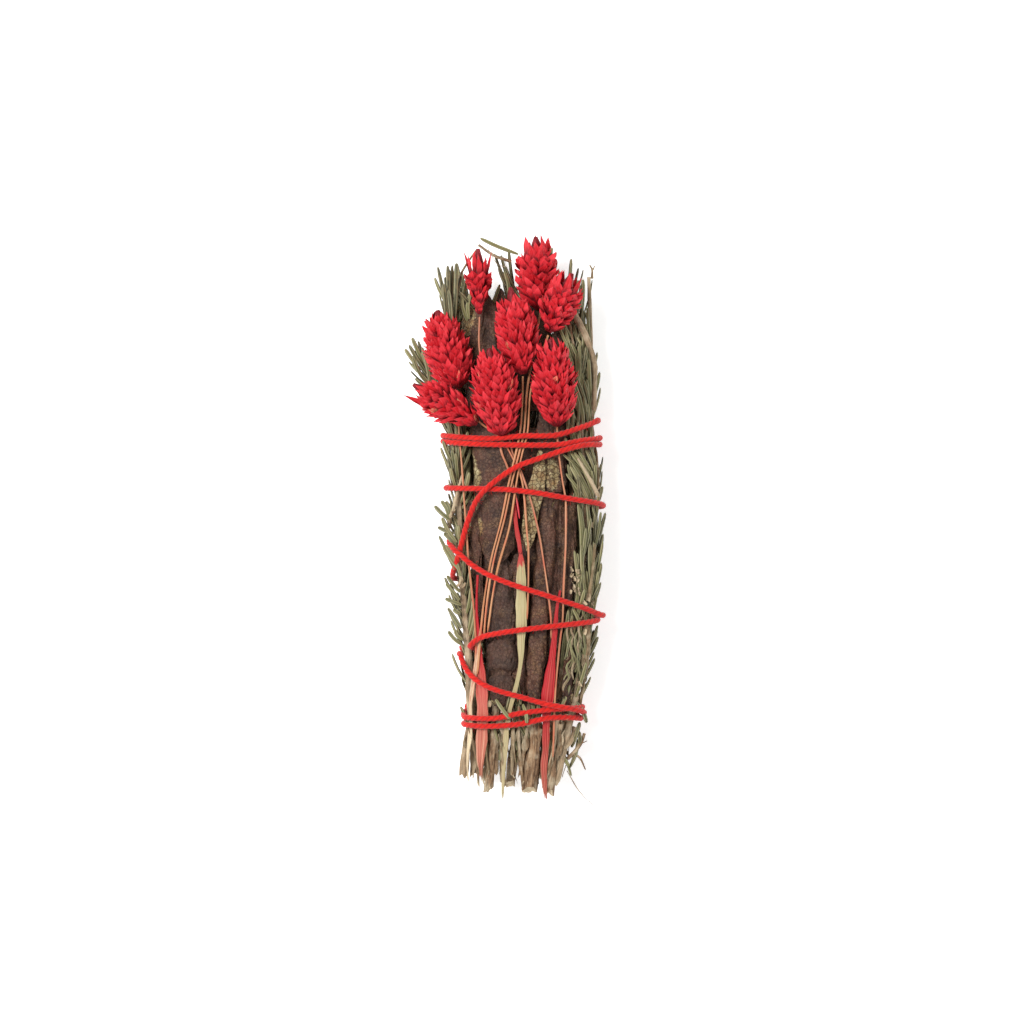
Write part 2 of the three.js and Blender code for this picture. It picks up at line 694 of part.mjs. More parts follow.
// The leaf at the back carries the stick: it lies flat on the surface, and bows up where the
// string passes under it
const UNDER_LEAF = {
  name: "yerba_santa_under",
  middleX: 4.2,
  stalkY: -61,
  tipY: 46,
  halfWidth: 11.5,
  lengthSteps: 27,
  widthSteps: 4,
  overString: STRING_RADIUS + 0.35, // how far over the string's middle it bows
  bowFull: 3.2, // distance from the string within which it bows all the way
  bowReach: 7.6, // distance at which it lies flat again
  flatShare: 0.55, // the share of its half-width that lies flat
  edgeLift: 1.1,
  bluntness: 0.6,
};

const lowString = stringPoints.filter((point) => point.z < STRING_FLOOR + 4);

function underLeafPoint(share, across, side) {
  const leaf = UNDER_LEAF;
  const y = lerp(leaf.tipY, leaf.stalkY, share);
  const halfWidth = leaf.halfWidth * Math.sin(Math.PI * lerp(0.06, 0.95, share)) ** leaf.bluntness;
  const x = leaf.middleX - across * halfWidth;
  let low = 0;
  for (const point of lowString) {
    const distance = Math.hypot(point.x - x, point.y - y);
    const bow = clamp((leaf.bowReach - distance) / (leaf.bowReach - leaf.bowFull), 0, 1);
    low = Math.max(low, (point.z + leaf.overString) * bow * bow * (3 - 2 * bow));
  }
  low += leaf.edgeLift * leaf.halfWidth * Math.max(0, Math.abs(across) - leaf.flatShare) ** 2;
  return new THREE.Vector3(x, y, low + (1 - side) * LEAF_THICKNESS);
}

function underLeafSolid() {
  const leaf = UNDER_LEAF;
  for (let i = 0; i <= 70; i += 1) {
    for (let j = -8; j <= 8; j += 1) take(underLeafPoint(i / 70, j / 8, 0.5), 0.55, leaf.name);
  }
  return blade(leaf.lengthSteps, leaf.widthSteps, underLeafPoint);
}

// Canary-grass heads

// Foot and tip of each head's axis, and its greatest radius over the bracts
const HEADS = [
  { name: "head_small", foot: [-8.8, 68.3, 27.0], tip: [-9.3, 90.2, 28.5], radius: 4.7, seed: 11 },
  { name: "head_top", foot: [11.4, 70.2, 18.5], tip: [9.9, 94.9, 19.5], radius: 7.7, seed: 12 },
  { name: "head_right", foot: [14.3, 62.3, 28.2], tip: [22.2, 81.8, 30.0], radius: 6.6, seed: 13 },
  { name: "head_centre", foot: [5.7, 48.3, 31.0], tip: [1.3, 77.3, 32.5], radius: 7.3, seed: 14 },
  { name: "head_left", foot: [-16.2, 43.4, 26.8], tip: [-23.1, 70.0, 25.5], radius: 8.0, seed: 15 },
  { name: "head_low_left", foot: [-9.8, 31.6, 33.2], tip: [-31.4, 44.6, 34.5], radius: 6.6, seed: 16 },
  { name: "head_front", foot: [-1.3, 29.7, 32.4], tip: [-5.7, 56.8, 38.2], radius: 8.1, seed: 17 },
  { name: "head_low_right", foot: [17.0, 31.0, 31.4], tip: [14.6, 60.0, 36.8], radius: 7.7, seed: 18 },
];

const HEAD_RINGS = 9; // rings of bracts
const HEAD_ROUND = 7; // bracts in a ring
const HEAD_CORE = 0.6; // the core's radius over the bracts' radius
const HEAD_STALK = 0.7; // the core's least radius
const HEAD_FIRST = 0.03; // share of the head's length at which the first ring is rooted
const HEAD_ROOTED = 0.8; // share of its length over which the rings are rooted
const BRACT_LENGTH = 0.195; // a bract's length over the head's
const BRACT_VARIES = 0.12; // how much the bracts' reach varies

// The head's outline: how wide it is, as a share of its radius, along its axis
function headWidth(share) {
  return Math.sin(Math.PI * clamp(share, 0, 1) ** 0.78) ** 0.62;
}

// The core is a net of diamonds, each ring half a step round from the last. Over each diamond a
// keeled bract rises to a point that leans towards the tip, so that the bracts overlap.
function headSolid(head) {
  const random = seededRandom(head.seed);
  const foot = new THREE.Vector3(...head.foot);
  const tip = new THREE.Vector3(...head.tip);
  const axis = new THREE.Vector3().subVectors(tip, foot);
  const side = new THREE.Vector3().crossVectors(axis, new THREE.Vector3(0, 0, 1)).normalize();
  const rise = new THREE.Vector3().crossVectors(side, axis).normalize();
  const place = (share, step, radius) => {
    const turn = (2 * Math.PI * step) / HEAD_ROUND;
    return foot.clone()
      .addScaledVector(axis, share)
      .addScaledVector(side, radius * Math.cos(turn))
      .addScaledVector(rise, radius * Math.sin(turn));
  };
  const corners = [foot, tip];
  const rings = [];
  const rooted = (k) => HEAD_FIRST + (HEAD_ROOTED * k) / HEAD_RINGS;
  for (let k = 0; k <= HEAD_RINGS; k += 1) {
    const radius = Math.max(HEAD_STALK, HEAD_CORE * head.radius * headWidth(rooted(k)));
    const ring = [];
    for (let i = 0; i < HEAD_ROUND; i += 1) {
      ring.push(corners.length);
      corners.push(place(rooted(k), i + k / 2, radius));
    }
    rings.push(ring);
  }
  const at = (k, i) => rings[k][(i + HEAD_ROUND) % HEAD_ROUND];
  const last = HEAD_RINGS;
  const triangles = [];
  for (let i = 0; i < HEAD_ROUND; i += 1) {
    triangles.push(0, at(0, i), at(0, i + 1), at(0, i + 1), at(0, i), at(1, i));
    triangles.push(1, at(last, i + 1), at(last, i), at(last, i), at(last, i + 1), at(last - 1, i + 1));
  }
  for (let k = 1; k < HEAD_RINGS; k += 1) {
    for (let i = 0; i < HEAD_ROUND; i += 1) {
      const share = Math.min(rooted(k) + BRACT_LENGTH * lerp(0.87, 1.13, random()), 0.985);
      const reached = 1 + BRACT_VARIES * (random() - 0.5);
      const point = corners.length;
      const radius = head.radius * reached * Math.max(headWidth(0.94 * share), 0.2);
      corners.push(place(share, i + (k - 1) / 2, radius));
      triangles.push(at(k, i), at(k - 1, i), point, at(k + 1, i - 1), at(k, i), point);
      triangles.push(at(k, i - 1), at(k + 1, i - 1), point, at(k - 1, i), at(k, i - 1), point);
    }
  }
  const balls = 12;
  for (let i = 0; i <= balls; i += 1) {
    const share = i / balls;
    const radius = Math.max(HEAD_STALK, head.radius * headWidth(share)) + 0.2;
    take(foot.clone().lerp(tip, share), radius, head.name);
  }
  const geometry = new THREE.BufferGeometry().setFromPoints(corners);
  geometry.setIndex(triangles);
  return geometry;
}

// Rosemary sprigs

// Each sprig's woody stem is a list of [y, degrees, depth] round the bundle from its cut end to
// its tip. Needles grow on it in crosswise pairs between the two shares of its length given.
const SPRIGS = [
  {
    name: "rosemary_left_front",
    stem: [[-86, 184, 0.6], [-78, 185, 1.6], [-68, 184, 2.8], [-57, 177, 2.6], [-46, 168, 2.4],
      [-41, 167, 2.2], [-21, 168, 2.6], [0, 164, 3.3], [22, 162, 3.4], [36, 172, 2.2],
      [44, 178, -2.8], [51, 180, -6.2]],
    radii: [1.2, 0.55],
    needles: [0.2, 1.0],
    spread: 9,
    nodes: 26,
    seed: 101,
  },
  {
    name: "rosemary_left_back",
    stem: [[-86, 194, 3.6], [-60, 202, 3.4], [-40, 206, 3.6], [-15, 202, 3.4], [20, 198, 3.6],
      [64, 190, 4.4]],
    radii: [1.3, 0.55],
    needles: [0.14, 1.0],
    nodes: 23,
    seed: 102,
  },
  {
    name: "rosemary_back_left",
    stem: [[-88, 232, 3.8], [-50, 226, 3.8], [0, 224, 3.8], [40, 222, 4.0], [72, 218, 4.4]],
    radii: [1.5, 0.6],
    needles: [0.12, 1.0],
    nodes: 21,
    seed: 103,
  },
  {
    name: "rosemary_back_middle",
    stem: [[-90, 262, 5.6], [-50, 268, 7.4], [0, 270, 7.6], [40, 268, 7.0], [78, 266, 5.0]],
    radii: [1.7, 0.6],
    needles: [0.12, 1.0],
    nodes: 18,
    seed: 104,
  },
  {
    name: "rosemary_back_right",
    stem: [[-88, 306, 3.8], [-50, 314, 3.8], [0, 316, 3.8], [40, 316, 4.0], [74, 318, 4.4]],
    radii: [1.5, 0.6],
    needles: [0.12, 1.0],
    nodes: 20,
    seed: 105,
  },
  {
    name: "rosemary_right_back",
    stem: [[-86, 340, 3.6], [-50, 342, 3.4], [0, 344, 3.4], [40, 346, 3.6], [68, 350, 4.2]],
    radii: [1.3, 0.55],
    needles: [0.14, 1.0],
    nodes: 24,
    seed: 106,
  },
  {
    name: "rosemary_right_front",
    stem: [[-88, 26, 3.2], [-60, 12, 3.2], [-30, 8, 3.2], [8, 6, 3.2], [34, 6, 3.0], [62, 8, 1.2],
      [81, 4, 0.6]],
    radii: [1.3, 0.6],
    needles: [0.16, 0.86],
    nodes: 25,
    seed: 107,
  },
  {
    name: "rosemary_front_right",
    stem: [[-60, 38, 6.6], [-46, 37, 6.2], [-30, 36, 4.6], [0, 32, 3.2], [24, 32, 3.4],
      [46, 32, 3.6], [68, 42, 3.6]],
    radii: [1.2, 0.55],
    needles: [0.06, 1.0],
    nodes: 24,
    seed: 108,
  },
  {
    name: "rosemary_inner_left",
    stem: [[-91, 128, 3.4], [-70, 128, 6.0], [-40, 140, 10.4], [0, 152, 10.2], [40, 150, 8.8],
      [66, 138, 6.4]],
    radii: [1.5, 0.6],
    needles: [0.1, 1.0],
    nodes: 12,
    seed: 109,
  },
  {
    name: "rosemary_inner_middle",
    stem: [[-91, 74, 3.6], [-74, 72, 5.2], [-60, 78, 9.6], [-42, 84, 13.0], [0, 86, 13.6],
      [40, 84, 11.6], [74, 84, 9.0]],
    radii: [1.85, 0.6],
    needles: [0.12, 1.0],
    nodes: 12,
    seed: 110,
  },
  {
    name: "rosemary_inner_right",
    stem: [[-92, 41, 3.2], [-76, 38, 5.6], [-56, 20, 10.4], [-40, 10, 11.8], [0, 10, 10.6], [40, 14, 9.4],
      [70, 30, 8.2]],
    radii: [1.6, 0.6],
    needles: [0.12, 1.0],
    nodes: 12,
    seed: 111,
  },
  {
    name: "rosemary_top_left",
    stem: [[-40, 178, 8.6], [0, 182, 8.2], [40, 176, 6.4], [58, 170, 4.0], [70, 170, 2.6]],
    radii: [1.0, 0.6],
    needles: [0.2, 1.0],
    spread: 3,
    nodes: 22,
    seed: 112,
  },
];

function sprigStem(sprig) {
  return sprig.stem.map(([y, degrees, depth]) => around(y, degrees, depth));
}

function sprigRadius(sprig, share) {
  return lerp(sprig.radii[0], sprig.radii[1], share);
}

const SIDE_ALLOWANCE = 3.2; // how far needle tips stand out between the turns of string
const LOOSE_FROM = 34; // above the top band a sprig may spread further, by its own spread
const LOOSE_OVER = 14; // over this length

const NEEDLE_CURVE = 0.45; // lean of a needle's upper half over the lean of its lower half

// A needle's three points: its root at the far side of the stem, its bend and its tip
function needlePoints({ middle, radius, tangent }, out, spread, length) {
  const leaning = (angle) => {
    return tangent.clone().multiplyScalar(Math.cos(angle)).addScaledVector(out, Math.sin(angle));
  };
  const lower = leaning(spread);
  const upper = leaning(NEEDLE_CURVE * spread);
  const root = middle.clone().addScaledVector(lower, -1.1 * radius);
  const halfway = middle.clone().addScaledVector(lower, 0.5 * length);
  return [root, halfway, halfway.clone().addScaledVector(upper, 0.5 * length)];
}

function needleFits(points, sprig) {
  const [root, halfway, tip] = points;
  for (let i = 0; i <= 10; i += 1) {
    const share = i / 10;
    const point = share < 0.5
      ? root.clone().lerp(halfway, share * 2)
      : halfway.clone().lerp(tip, share * 2 - 1);
    const radius = NEEDLE_RADIUS * (share > 0.9 ? 0.6 : 1);
    if (point.z < radius + GAP) return false;
    if (!isFree(point, radius, sprig.name)) return false;
  }
  const girth = girthAt(tip.y);
  const isFront = tip.z > girth.height + girth.halfDepth * 0.72;
  const loose = (sprig.spread ?? 0) * clamp((tip.y - LOOSE_FROM) / LOOSE_OVER, 0, 1);
  const allowance = isFront ? 0 : SIDE_ALLOWANCE + loose;
  return reach(tip) < 1 + allowance / girth.halfWidth;
}

// A needle's lower third is taken in its sprig's name, which the sprig's other needles may crowd.
// The rest stays clear of every other needle.
function takeNeedle(points, owner) {
  const curve = curveThrough(points);
  const count = Math.ceil(curve.getLength());
  curve.getSpacedPoints(count).forEach((point, i) => {
    take(point, NEEDLE_RADIUS, i < count / 3 ? owner : `${owner} needle`);
  });
}

// A needle where there is room for one: it turns round the stem first, and then leans closer to it
const TURNS_TRIED = [0, 25, -25, 50, -50];
const LEANS_TRIED = [1, 0.72, 0.45, 0.2];

function growNeedle(sprig, place, turn, random) {
  const length = NEEDLE_LENGTH * lerp(0.82, 1.12, random());
  const spread = radians(lerp(34, 46, random()));
  for (const lean of LEANS_TRIED) {
    for (const shift of TURNS_TRIED) {
      const angle = turn + radians(shift);
      const out = place.side.clone()
        .multiplyScalar(Math.cos(angle))
        .addScaledVector(place.rise, Math.sin(angle));
      const points = needlePoints(place, out, spread * lean, length);
      if (needleFits(points, sprig)) return points;
    }
  }
  return null;
}

// A three-sided needle, pointed at both ends and widest at its bend
function needleSolid([root, halfway, tip]) {
  const way = new THREE.Vector3().subVectors(tip, root).normalize();
  const side = new THREE.Vector3().crossVectors(way, outward(halfway)).normalize();
  const rise = new THREE.Vector3().crossVectors(side, way);
  const corners = [root];
  for (let i = 0; i < 3; i += 1) {
    const turn = Math.PI / 2 + (2 * Math.PI * i) / 3;
    const out = side.clone().multiplyScalar(Math.cos(turn)).addScaledVector(rise, Math.sin(turn));
    corners.push(halfway.clone().addScaledVector(out, NEEDLE_RADIUS));
  }
  corners.push(tip);
  const geometry = new THREE.BufferGeometry().setFromPoints(corners);
  geometry.setIndex([0, 1, 2, 0, 2, 3, 0, 3, 1, 1, 4, 2, 2, 4, 3, 3, 4, 1]);
  return geometry;
}

function sprigNeedles(sprig) {
  const curve = curveThrough(sprigStem(sprig));
  const random = seededRandom(sprig.seed);
  const needles = [];
  for (let i = 0; i < sprig.nodes; i += 1) {
    const share = lerp(sprig.needles[0], sprig.needles[1], (i + 0.5) / sprig.nodes);
    const middle = curve.getPointAt(share);
    const tangent = curve.getTangentAt(share);
    const side = new THREE.Vector3().crossVectors(tangent, outward(middle)).normalize();
    const rise = new THREE.Vector3().crossVectors(side, tangent);
    const place = { middle, tangent, side, rise, radius: sprigRadius(sprig, share) };
    const count = i === sprig.nodes - 1 ? 4 : 2;
    const start = (Math.PI / 2) * (i % 2) + lerp(0.15, 0.65, random());
    for (let k = 0; k < count; k += 1) {
      const points = growNeedle(sprig, place, start + (2 * Math.PI * k) / count, random);
      if (!points) continue;
      takeNeedle(points, sprig.name);
      needles.push(points);
    }
  }
  return needles;
}

function sprigSolid(sprig) {
  const points = sprigStem(sprig);
  const steps = Math.ceil(curveThrough(points).getLength() / 16);
  const stem = bentRod({ points, radiusAt: (share) => sprigRadius(sprig, share), sides: 5, steps });
  return fuse([stem, ...sprigNeedles(sprig).map(needleSolid)]);
}

// The whole stick

const smudgeStick = new THREE.Group();

function addPiece(name, geometry, colour, roughness) {
  const material = new THREE.MeshStandardMaterial({ color: colour, roughness, metalness: 0 });
  const mesh = new THREE.Mesh(geometry, material);
  mesh.name = name;
  smudgeStick.add(mesh);
}

addPiece("string", stringSolid(), COLOURS.string, 0.9);
for (const stem of STEMS) addPiece(stem.name, stemSolid(stem), COLOURS.straw, 0.6);
for (const sheath of SHEATHS) addPiece(sheath.name, sheathSolid(sheath), COLOURS[sheath.colour], 0.6);
for (const leaf of LEAVES) addPiece(leaf.name, leafSolid(leaf), COLOURS[leaf.colour], 0.65);
addPiece(UNDER_LEAF.name, underLeafSolid(), COLOURS.leaf, 0.65);
for (const head of HEADS) addPiece(head.name, headSolid(head), COLOURS.head, 0.7);
for (const sprig of SPRIGS) {
  takeAlong(sprigStem(sprig), (share) => sprigRadius(sprig, share), sprig.name);
}
for (const sprig of SPRIGS) addPiece(sprig.name, sprigSolid(sprig), COLOURS.rosemary, 0.8);

// The origin goes on the surface, under the middle of the whole outline
const box = new THREE.Box3().setFromObject(smudgeStick);
const middle = box.getCenter(new THREE.Vector3());
for (const mesh of smudgeStick.children) mesh.geometry.translate(-middle.x, -middle.y, -box.min.z);

export default smudgeStick;
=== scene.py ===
# The looks of a hand-tied smudge stick: rosemary sprigs, rolled yerba santa leaves, dyed
# canary-grass heads on straw stems, and the red string that binds them. Sizes are in millimetres
# in the bundle's own frame until a mesh is made, which puts them in metres in the part's frame.

import math

import bpy
import numpy as np
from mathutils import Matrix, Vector, noise


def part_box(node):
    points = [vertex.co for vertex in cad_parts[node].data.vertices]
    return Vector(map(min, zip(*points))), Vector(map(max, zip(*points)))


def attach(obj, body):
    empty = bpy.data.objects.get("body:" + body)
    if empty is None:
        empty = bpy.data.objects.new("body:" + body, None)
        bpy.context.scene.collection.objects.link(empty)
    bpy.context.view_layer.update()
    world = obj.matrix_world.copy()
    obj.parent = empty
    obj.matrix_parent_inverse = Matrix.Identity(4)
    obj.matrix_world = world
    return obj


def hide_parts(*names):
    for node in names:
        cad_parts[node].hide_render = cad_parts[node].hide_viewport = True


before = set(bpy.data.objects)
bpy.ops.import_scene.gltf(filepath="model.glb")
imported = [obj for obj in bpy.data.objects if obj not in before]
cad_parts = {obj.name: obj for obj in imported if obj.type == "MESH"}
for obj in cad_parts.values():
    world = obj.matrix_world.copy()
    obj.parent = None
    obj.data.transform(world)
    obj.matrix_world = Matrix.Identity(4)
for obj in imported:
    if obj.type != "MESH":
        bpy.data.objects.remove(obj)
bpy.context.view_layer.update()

# Driving dimensions, the same as in the part's source

MM = 0.001
STRING_RADIUS = 0.95
STRING_SPACING = 2 * STRING_RADIUS + 0.08
STRING_FLOOR = 1.3
STRING_SAG = 0.3
STEM_RADIUS = 0.38
NEEDLE_LENGTH = 15
LEAF_THICKNESS = 0.9
OUTLINE_POWER = 2.2
CLEARANCE = 0.12
ON_TOP = STRING_RADIUS + STEM_RADIUS + STRING_SAG + CLEARANCE
BELOW = ON_TOP + 2 * STEM_RADIUS + CLEARANCE
LOWEST = BELOW + 2 * STEM_RADIUS + CLEARANCE
UNDER_STEMS = ON_TOP + STEM_RADIUS + CLEARANCE
SHEATH_THICKNESS = 0.62
SHEATH_DEPTH = STRING_RADIUS + SHEATH_THICKNESS / 2 + STRING_SAG + 0.2
SHEATH_DRAPE = 26
SHEATH_FOLD = 0.05

# y, middle, half-width and half-depth of the tied bundle at the string's middle line
GIRTH = np.array([
    (-95, 3.0, 17.0, 11.0),
    (-80, 3.9, 19.2, 12.0),
    (-66, 5.5, 20.0, 13.2),
    (-47, 6.9, 22.2, 14.7),
    (-33, 7.7, 23.8, 15.6),
    (-14, 6.9, 25.4, 16.2),
    (6, 6.3, 26.3, 16.4),
    (26, 5.2, 26.5, 16.4),
    (36, 5.0, 26.5, 14.4),
    (50, 4.6, 26.0, 12.9),
    (80, 4.6, 24.0, 11.2),
    (100, 4.6, 22.0, 10.5),
])

# The leaf that the stick lies on shows how far the part's frame is from the bundle's own
UNDER_LEAF = {
    "middle_x": 4.2,
    "stalk_y": -61,
    "tip_y": 46,
    "half_width": 11.5,
    "over_string": STRING_RADIUS + 0.35,
    "bow_full": 3.2,
    "bow_reach": 7.6,
    "flat_share": 0.55,
    "edge_lift": 1.1,
    "bluntness": 0.6,
}
under_low, under_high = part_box("yerba_santa_under")
FRAME_SHIFT = np.array([
    (under_low.x + under_high.x) / 2 / MM - UNDER_LEAF["middle_x"],
    under_low.y / MM - UNDER_LEAF["stalk_y"],
    0.0,
])


# Arithmetic that the pieces share

class Draw:
    """Seeded random numbers, the same ones as in the part's source."""

    def __init__(self, seed):
        self.state = seed

    def __call__(self, low=0.0, high=1.0):
        self.state = (self.state * 16807) % 2147483647
        return low + (high - low) * self.state / 2147483647


def clamp(value, low, high):
    return max(low, min(high, value))


def smooth(share):
    share = np.clip(share, 0, 1)
    return share * share * (3 - 2 * share)


def unit(vector):
    return vector / max(np.linalg.norm(vector), 1e-9)


def units(vectors):
    return vectors / np.maximum(np.linalg.norm(vectors, axis=-1, keepdims=True), 1e-9)


def along(rows, position):
    """Value of a list of (position, value) rows at one position or many."""
    table = np.array(rows, float)
    return np.interp(position, table[:, 0], table[:, 1])


def girth_at(y):
    middle = np.interp(y, GIRTH[:, 0], GIRTH[:, 1])
    half_width = np.interp(y, GIRTH[:, 0], GIRTH[:, 2])
    half_depth = np.interp(y, GIRTH[:, 0], GIRTH[:, 3])
    return middle, half_width, half_depth, STRING_FLOOR + half_depth


def around(y, degrees, depth=0.0):
    """A point at an angle round the bundle: 0 is right, 90 the front, 180 left, 270 underneath."""
    middle, half_width, half_depth, height = girth_at(y)
    c = math.cos(math.radians(degrees))
    s = math.sin(math.radians(degrees))
    power = 2 / OUTLINE_POWER
    return np.array([
        middle + (half_width - depth) * math.copysign(abs(c) ** power, c),
        y,
        height + (half_depth - depth) * math.copysign(abs(s) ** power, s),
    ])


def front_angle(x, y, depth=0.0):
    middle, half_width, _, _ = girth_at(y)
    share = clamp((x - middle) / (half_width - depth), -1, 1)
    return math.degrees(math.acos(math.copysign(abs(share) ** (OUTLINE_POWER / 2), share)))


def on_front(x, y, depth):
    """The point of the front that lies at x and y, at a depth under the string's middle line."""
    return around(y, front_angle(x, y, depth), depth)


def outward(points):
    """The ways out of the bundle at points."""
    middle, half_width, half_depth, height = girth_at(points[..., 1])
    u = (points[..., 0] - middle) / half_width
    w = (points[..., 2] - height) / half_depth
    steep = OUTLINE_POWER - 1
    way = np.zeros_like(points)
    way[..., 0] = np.sign(u) * np.abs(u) ** steep / half_width
    way[..., 2] = np.sign(w) * np.abs(w) ** steep / half_depth
    return units(way)


def reach(point):
    middle, half_width, half_depth, height = girth_at(point[1])
    u = abs(point[0] - middle) / half_width
    w = abs(point[2] - height) / half_depth
    return (u ** OUTLINE_POWER + w ** OUTLINE_POWER) ** (1 / OUTLINE_POWER)


class Curve:
    """A centripetal Catmull-Rom curve through points."""

    def __init__(self, points):
        self.points = np.array(points, float)
        shares = np.linspace(0, 1, 30 * (len(self.points) - 1) + 1)
        dense = self.raw(shares)
        steps = np.linalg.norm(np.diff(dense, axis=0), axis=1)
        self.lengths = np.concatenate([[0], np.cumsum(steps)])
        self.shares = shares
        self.length = self.lengths[-1]

    def raw(self, shares):
        p = self.points
        padded = np.vstack([2 * p[0] - p[1], p, 2 * p[-1] - p[-2]])
        position = np.asarray(shares) * (len(p) - 1)
        k = np.clip(position.astype(int), 0, len(p) - 2)
        t = (position - k)[:, None]
        a, b, c, d = padded[k], padded[k + 1], padded[k + 2], padded[k + 3]
        d0 = np.maximum(np.sqrt(np.linalg.norm(b - a, axis=1)), 1e-4)[:, None]
        d1 = np.maximum(np.sqrt(np.linalg.norm(c - b, axis=1)), 1e-4)[:, None]
        d2 = np.maximum(np.sqrt(np.linalg.norm(d - c, axis=1)), 1e-4)[:, None]
        start = ((b - a) / d0 - (c - a) / (d0 + d1) + (c - b) / d1) * d1
        end = ((c - b) / d1 - (d - b) / (d1 + d2) + (d - c) / d2) * d1
        square = 3 * (c - b) - 2 * start - end
        cube = 2 * (b - c) + start + end
        return b + t * (start + t * (square + t * cube))

    def share_at(self, share):
        return np.interp(np.asarray(share) * self.length, self.lengths, self.shares)

    def at(self, share):
        """Points at shares of the curve's length."""
        return self.raw(np.atleast_1d(self.share_at(share)))

    def tangents(self, share):
        share = np.atleast_1d(share)
        step = 0.4 / self.length
        return units(self.at(np.clip(share + step, 0, 1)) - self.at(np.clip(share - step, 0, 1)))

    def spaced(self, count):
        return self.at(np.linspace(0, 1, count + 1))


DEGREE_LENGTH = 0.38  # about how far a degree round the bundle is

# How closely a route over the front is filled in: broad ones, string and twigs, needles, and
# the room that a line takes
BROAD_SPACING = 6
YARN_SPACING = 4
NEEDLE_SPACING = 3
ROOM_SPACING = 0.8


def laid_points(places, spacing):
    """A list of (x, y, depth) on the front, filled in closely over the bundle's round surface."""
    unrolled = []
    for place in places:
        x, y = place[:2]
        depth = place[2] if len(place) > 2 else 0.0
        unrolled.append((front_angle(x, y, depth) * DEGREE_LENGTH, y, depth))
    curve = Curve(unrolled)
    count = math.ceil(curve.length / spacing)
    return [around(p[1], p[0] / DEGREE_LENGTH, p[2]) for p in curve.spaced(count)]


# Room already taken. A needle grows only where nothing else is in its way.

CELL = 0.8
ROOM_LOW = np.array([-48.0, -106.0, -3.0])
ROOM_SIZE = (125, 270, 72)
solid_room = np.zeros(ROOM_SIZE, bool)
needle_room = np.zeros(ROOM_SIZE, bool)
YARN_ROOM = 0.5  # past the string's or a straw's own radius
SHEATH_ROOM = 0.8
LEAF_ROOM = 0.9
WOOD_ROOM = 0.9
LAID_ROOM = 0.5  # round a needle laid along the front
GROWN_ROOM = 0.45  # round a needle of a sprig
LOOSE_ROOM = 0.4  # round any other needle


def cells(points):
    index = np.round((points - ROOM_LOW) / CELL).astype(int)
    return np.clip(index, 0, np.array(ROOM_SIZE) - 1)


def take(room, points, radius):
    span = math.ceil(radius / CELL)
    ticks = np.arange(-span, span + 1)
    offsets = np.stack(np.meshgrid(ticks, ticks, ticks), -1).reshape(-1, 3)
    offsets = offsets[np.linalg.norm(offsets * CELL, axis=1) <= radius]
    index = cells(np.atleast_2d(points))[:, None, :] + offsets[None]
    index = np.clip(index, 0, np.array(ROOM_SIZE) - 1).reshape(-1, 3)
    room[index[:, 0], index[:, 1], index[:, 2]] = True


def is_taken(room, points):
    index = cells(points)
    return room[index[:, 0], index[:, 1], index[:, 2]]


# Meshes

class Shape:
    """Points and faces gathered for one mesh. Each point has a place on its surface in
    millimetres, a tint that its whole blade shares, and a mask that its material reads."""

    def __init__(self):
        self.points = []
        self.places = []
        self.tints = []
        self.masks = []
        self.quads = []
        self.kinds = []
        self.count = 0

    def grid(self, points, places=None, tint=0.5, mask=0.0, kind=0):
        """A sheet of quads over rows and columns of points."""
        rows, columns = points.shape[:2]
        if places is None:
            places = measured(points)
        index = self.count + np.arange(rows * columns).reshape(rows, columns)
        quads = np.stack([index[:-1, :-1], index[:-1, 1:], index[1:, 1:], index[1:, :-1]], -1)
        self.points.append(points.reshape(-1, 3))
        self.places.append(places.reshape(-1, 2))
        self.tints.append(np.broadcast_to(tint, (rows, columns)).reshape(-1))
        self.masks.append(np.broadcast_to(mask, (rows, columns)).reshape(-1))
        self.quads.append(quads.reshape(-1, 4))
        self.kinds.append(np.full((rows - 1) * (columns - 1), kind))
        self.count += rows * columns

    def mesh(self, name):
        points = (np.vstack(self.points) + FRAME_SHIFT) * MM
        quads = np.vstack(self.quads)
        mesh = bpy.data.meshes.new(name)
        mesh.vertices.add(len(points))
        mesh.vertices.foreach_set("co", points.reshape(-1))
        mesh.loops.add(quads.size)
        mesh.loops.foreach_set("vertex_index", quads.reshape(-1).astype(np.int32))
        mesh.polygons.add(len(quads))
        mesh.polygons.foreach_set("loop_start", np.arange(0, quads.size, 4, dtype=np.int32))
        mesh.polygons.foreach_set("material_index", np.concatenate(self.kinds).astype(np.int32))
        mesh.polygons.foreach_set("use_smooth", np.ones(len(quads), bool))
        uv = mesh.uv_layers.new(name="UVMap")
        places = np.vstack(self.places)[quads.reshape(-1)]
        uv.data.foreach_set("uv", places.reshape(-1).astype(np.float32))
        for label, values in (("tint", self.tints), ("mask", self.masks)):
            attribute = mesh.attributes.new(label, "FLOAT", "POINT")
            attribute.data.foreach_set("value", np.concatenate(values).astype(np.float32))
        mesh.update(calc_edges=True)
        mesh.validate()
        return mesh


def measured(points):
    """Millimetres across and along a grid of points."""
    across = np.linalg.norm(np.diff(points, axis=1), axis=2).mean(axis=0)
    lengthwise = np.linalg.norm(np.diff(points, axis=0), axis=2).mean(axis=1)
    u = np.concatenate([[0], np.cumsum(across)])
    v = np.concatenate([[0], np.cumsum(lengthwise)])
    return np.stack(np.broadcast_arrays(u[None, :], v[:, None]), -1)


def add_piece(name, shape, materials, slot, *nodes):
    piece = bpy.data.objects.new(name, shape.mesh(name))
    bpy.context.scene.collection.objects.link(piece)
    for material in materials:
        piece.data.materials.append(material)
    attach(piece, "root")
    if nodes:
        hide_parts(*nodes)


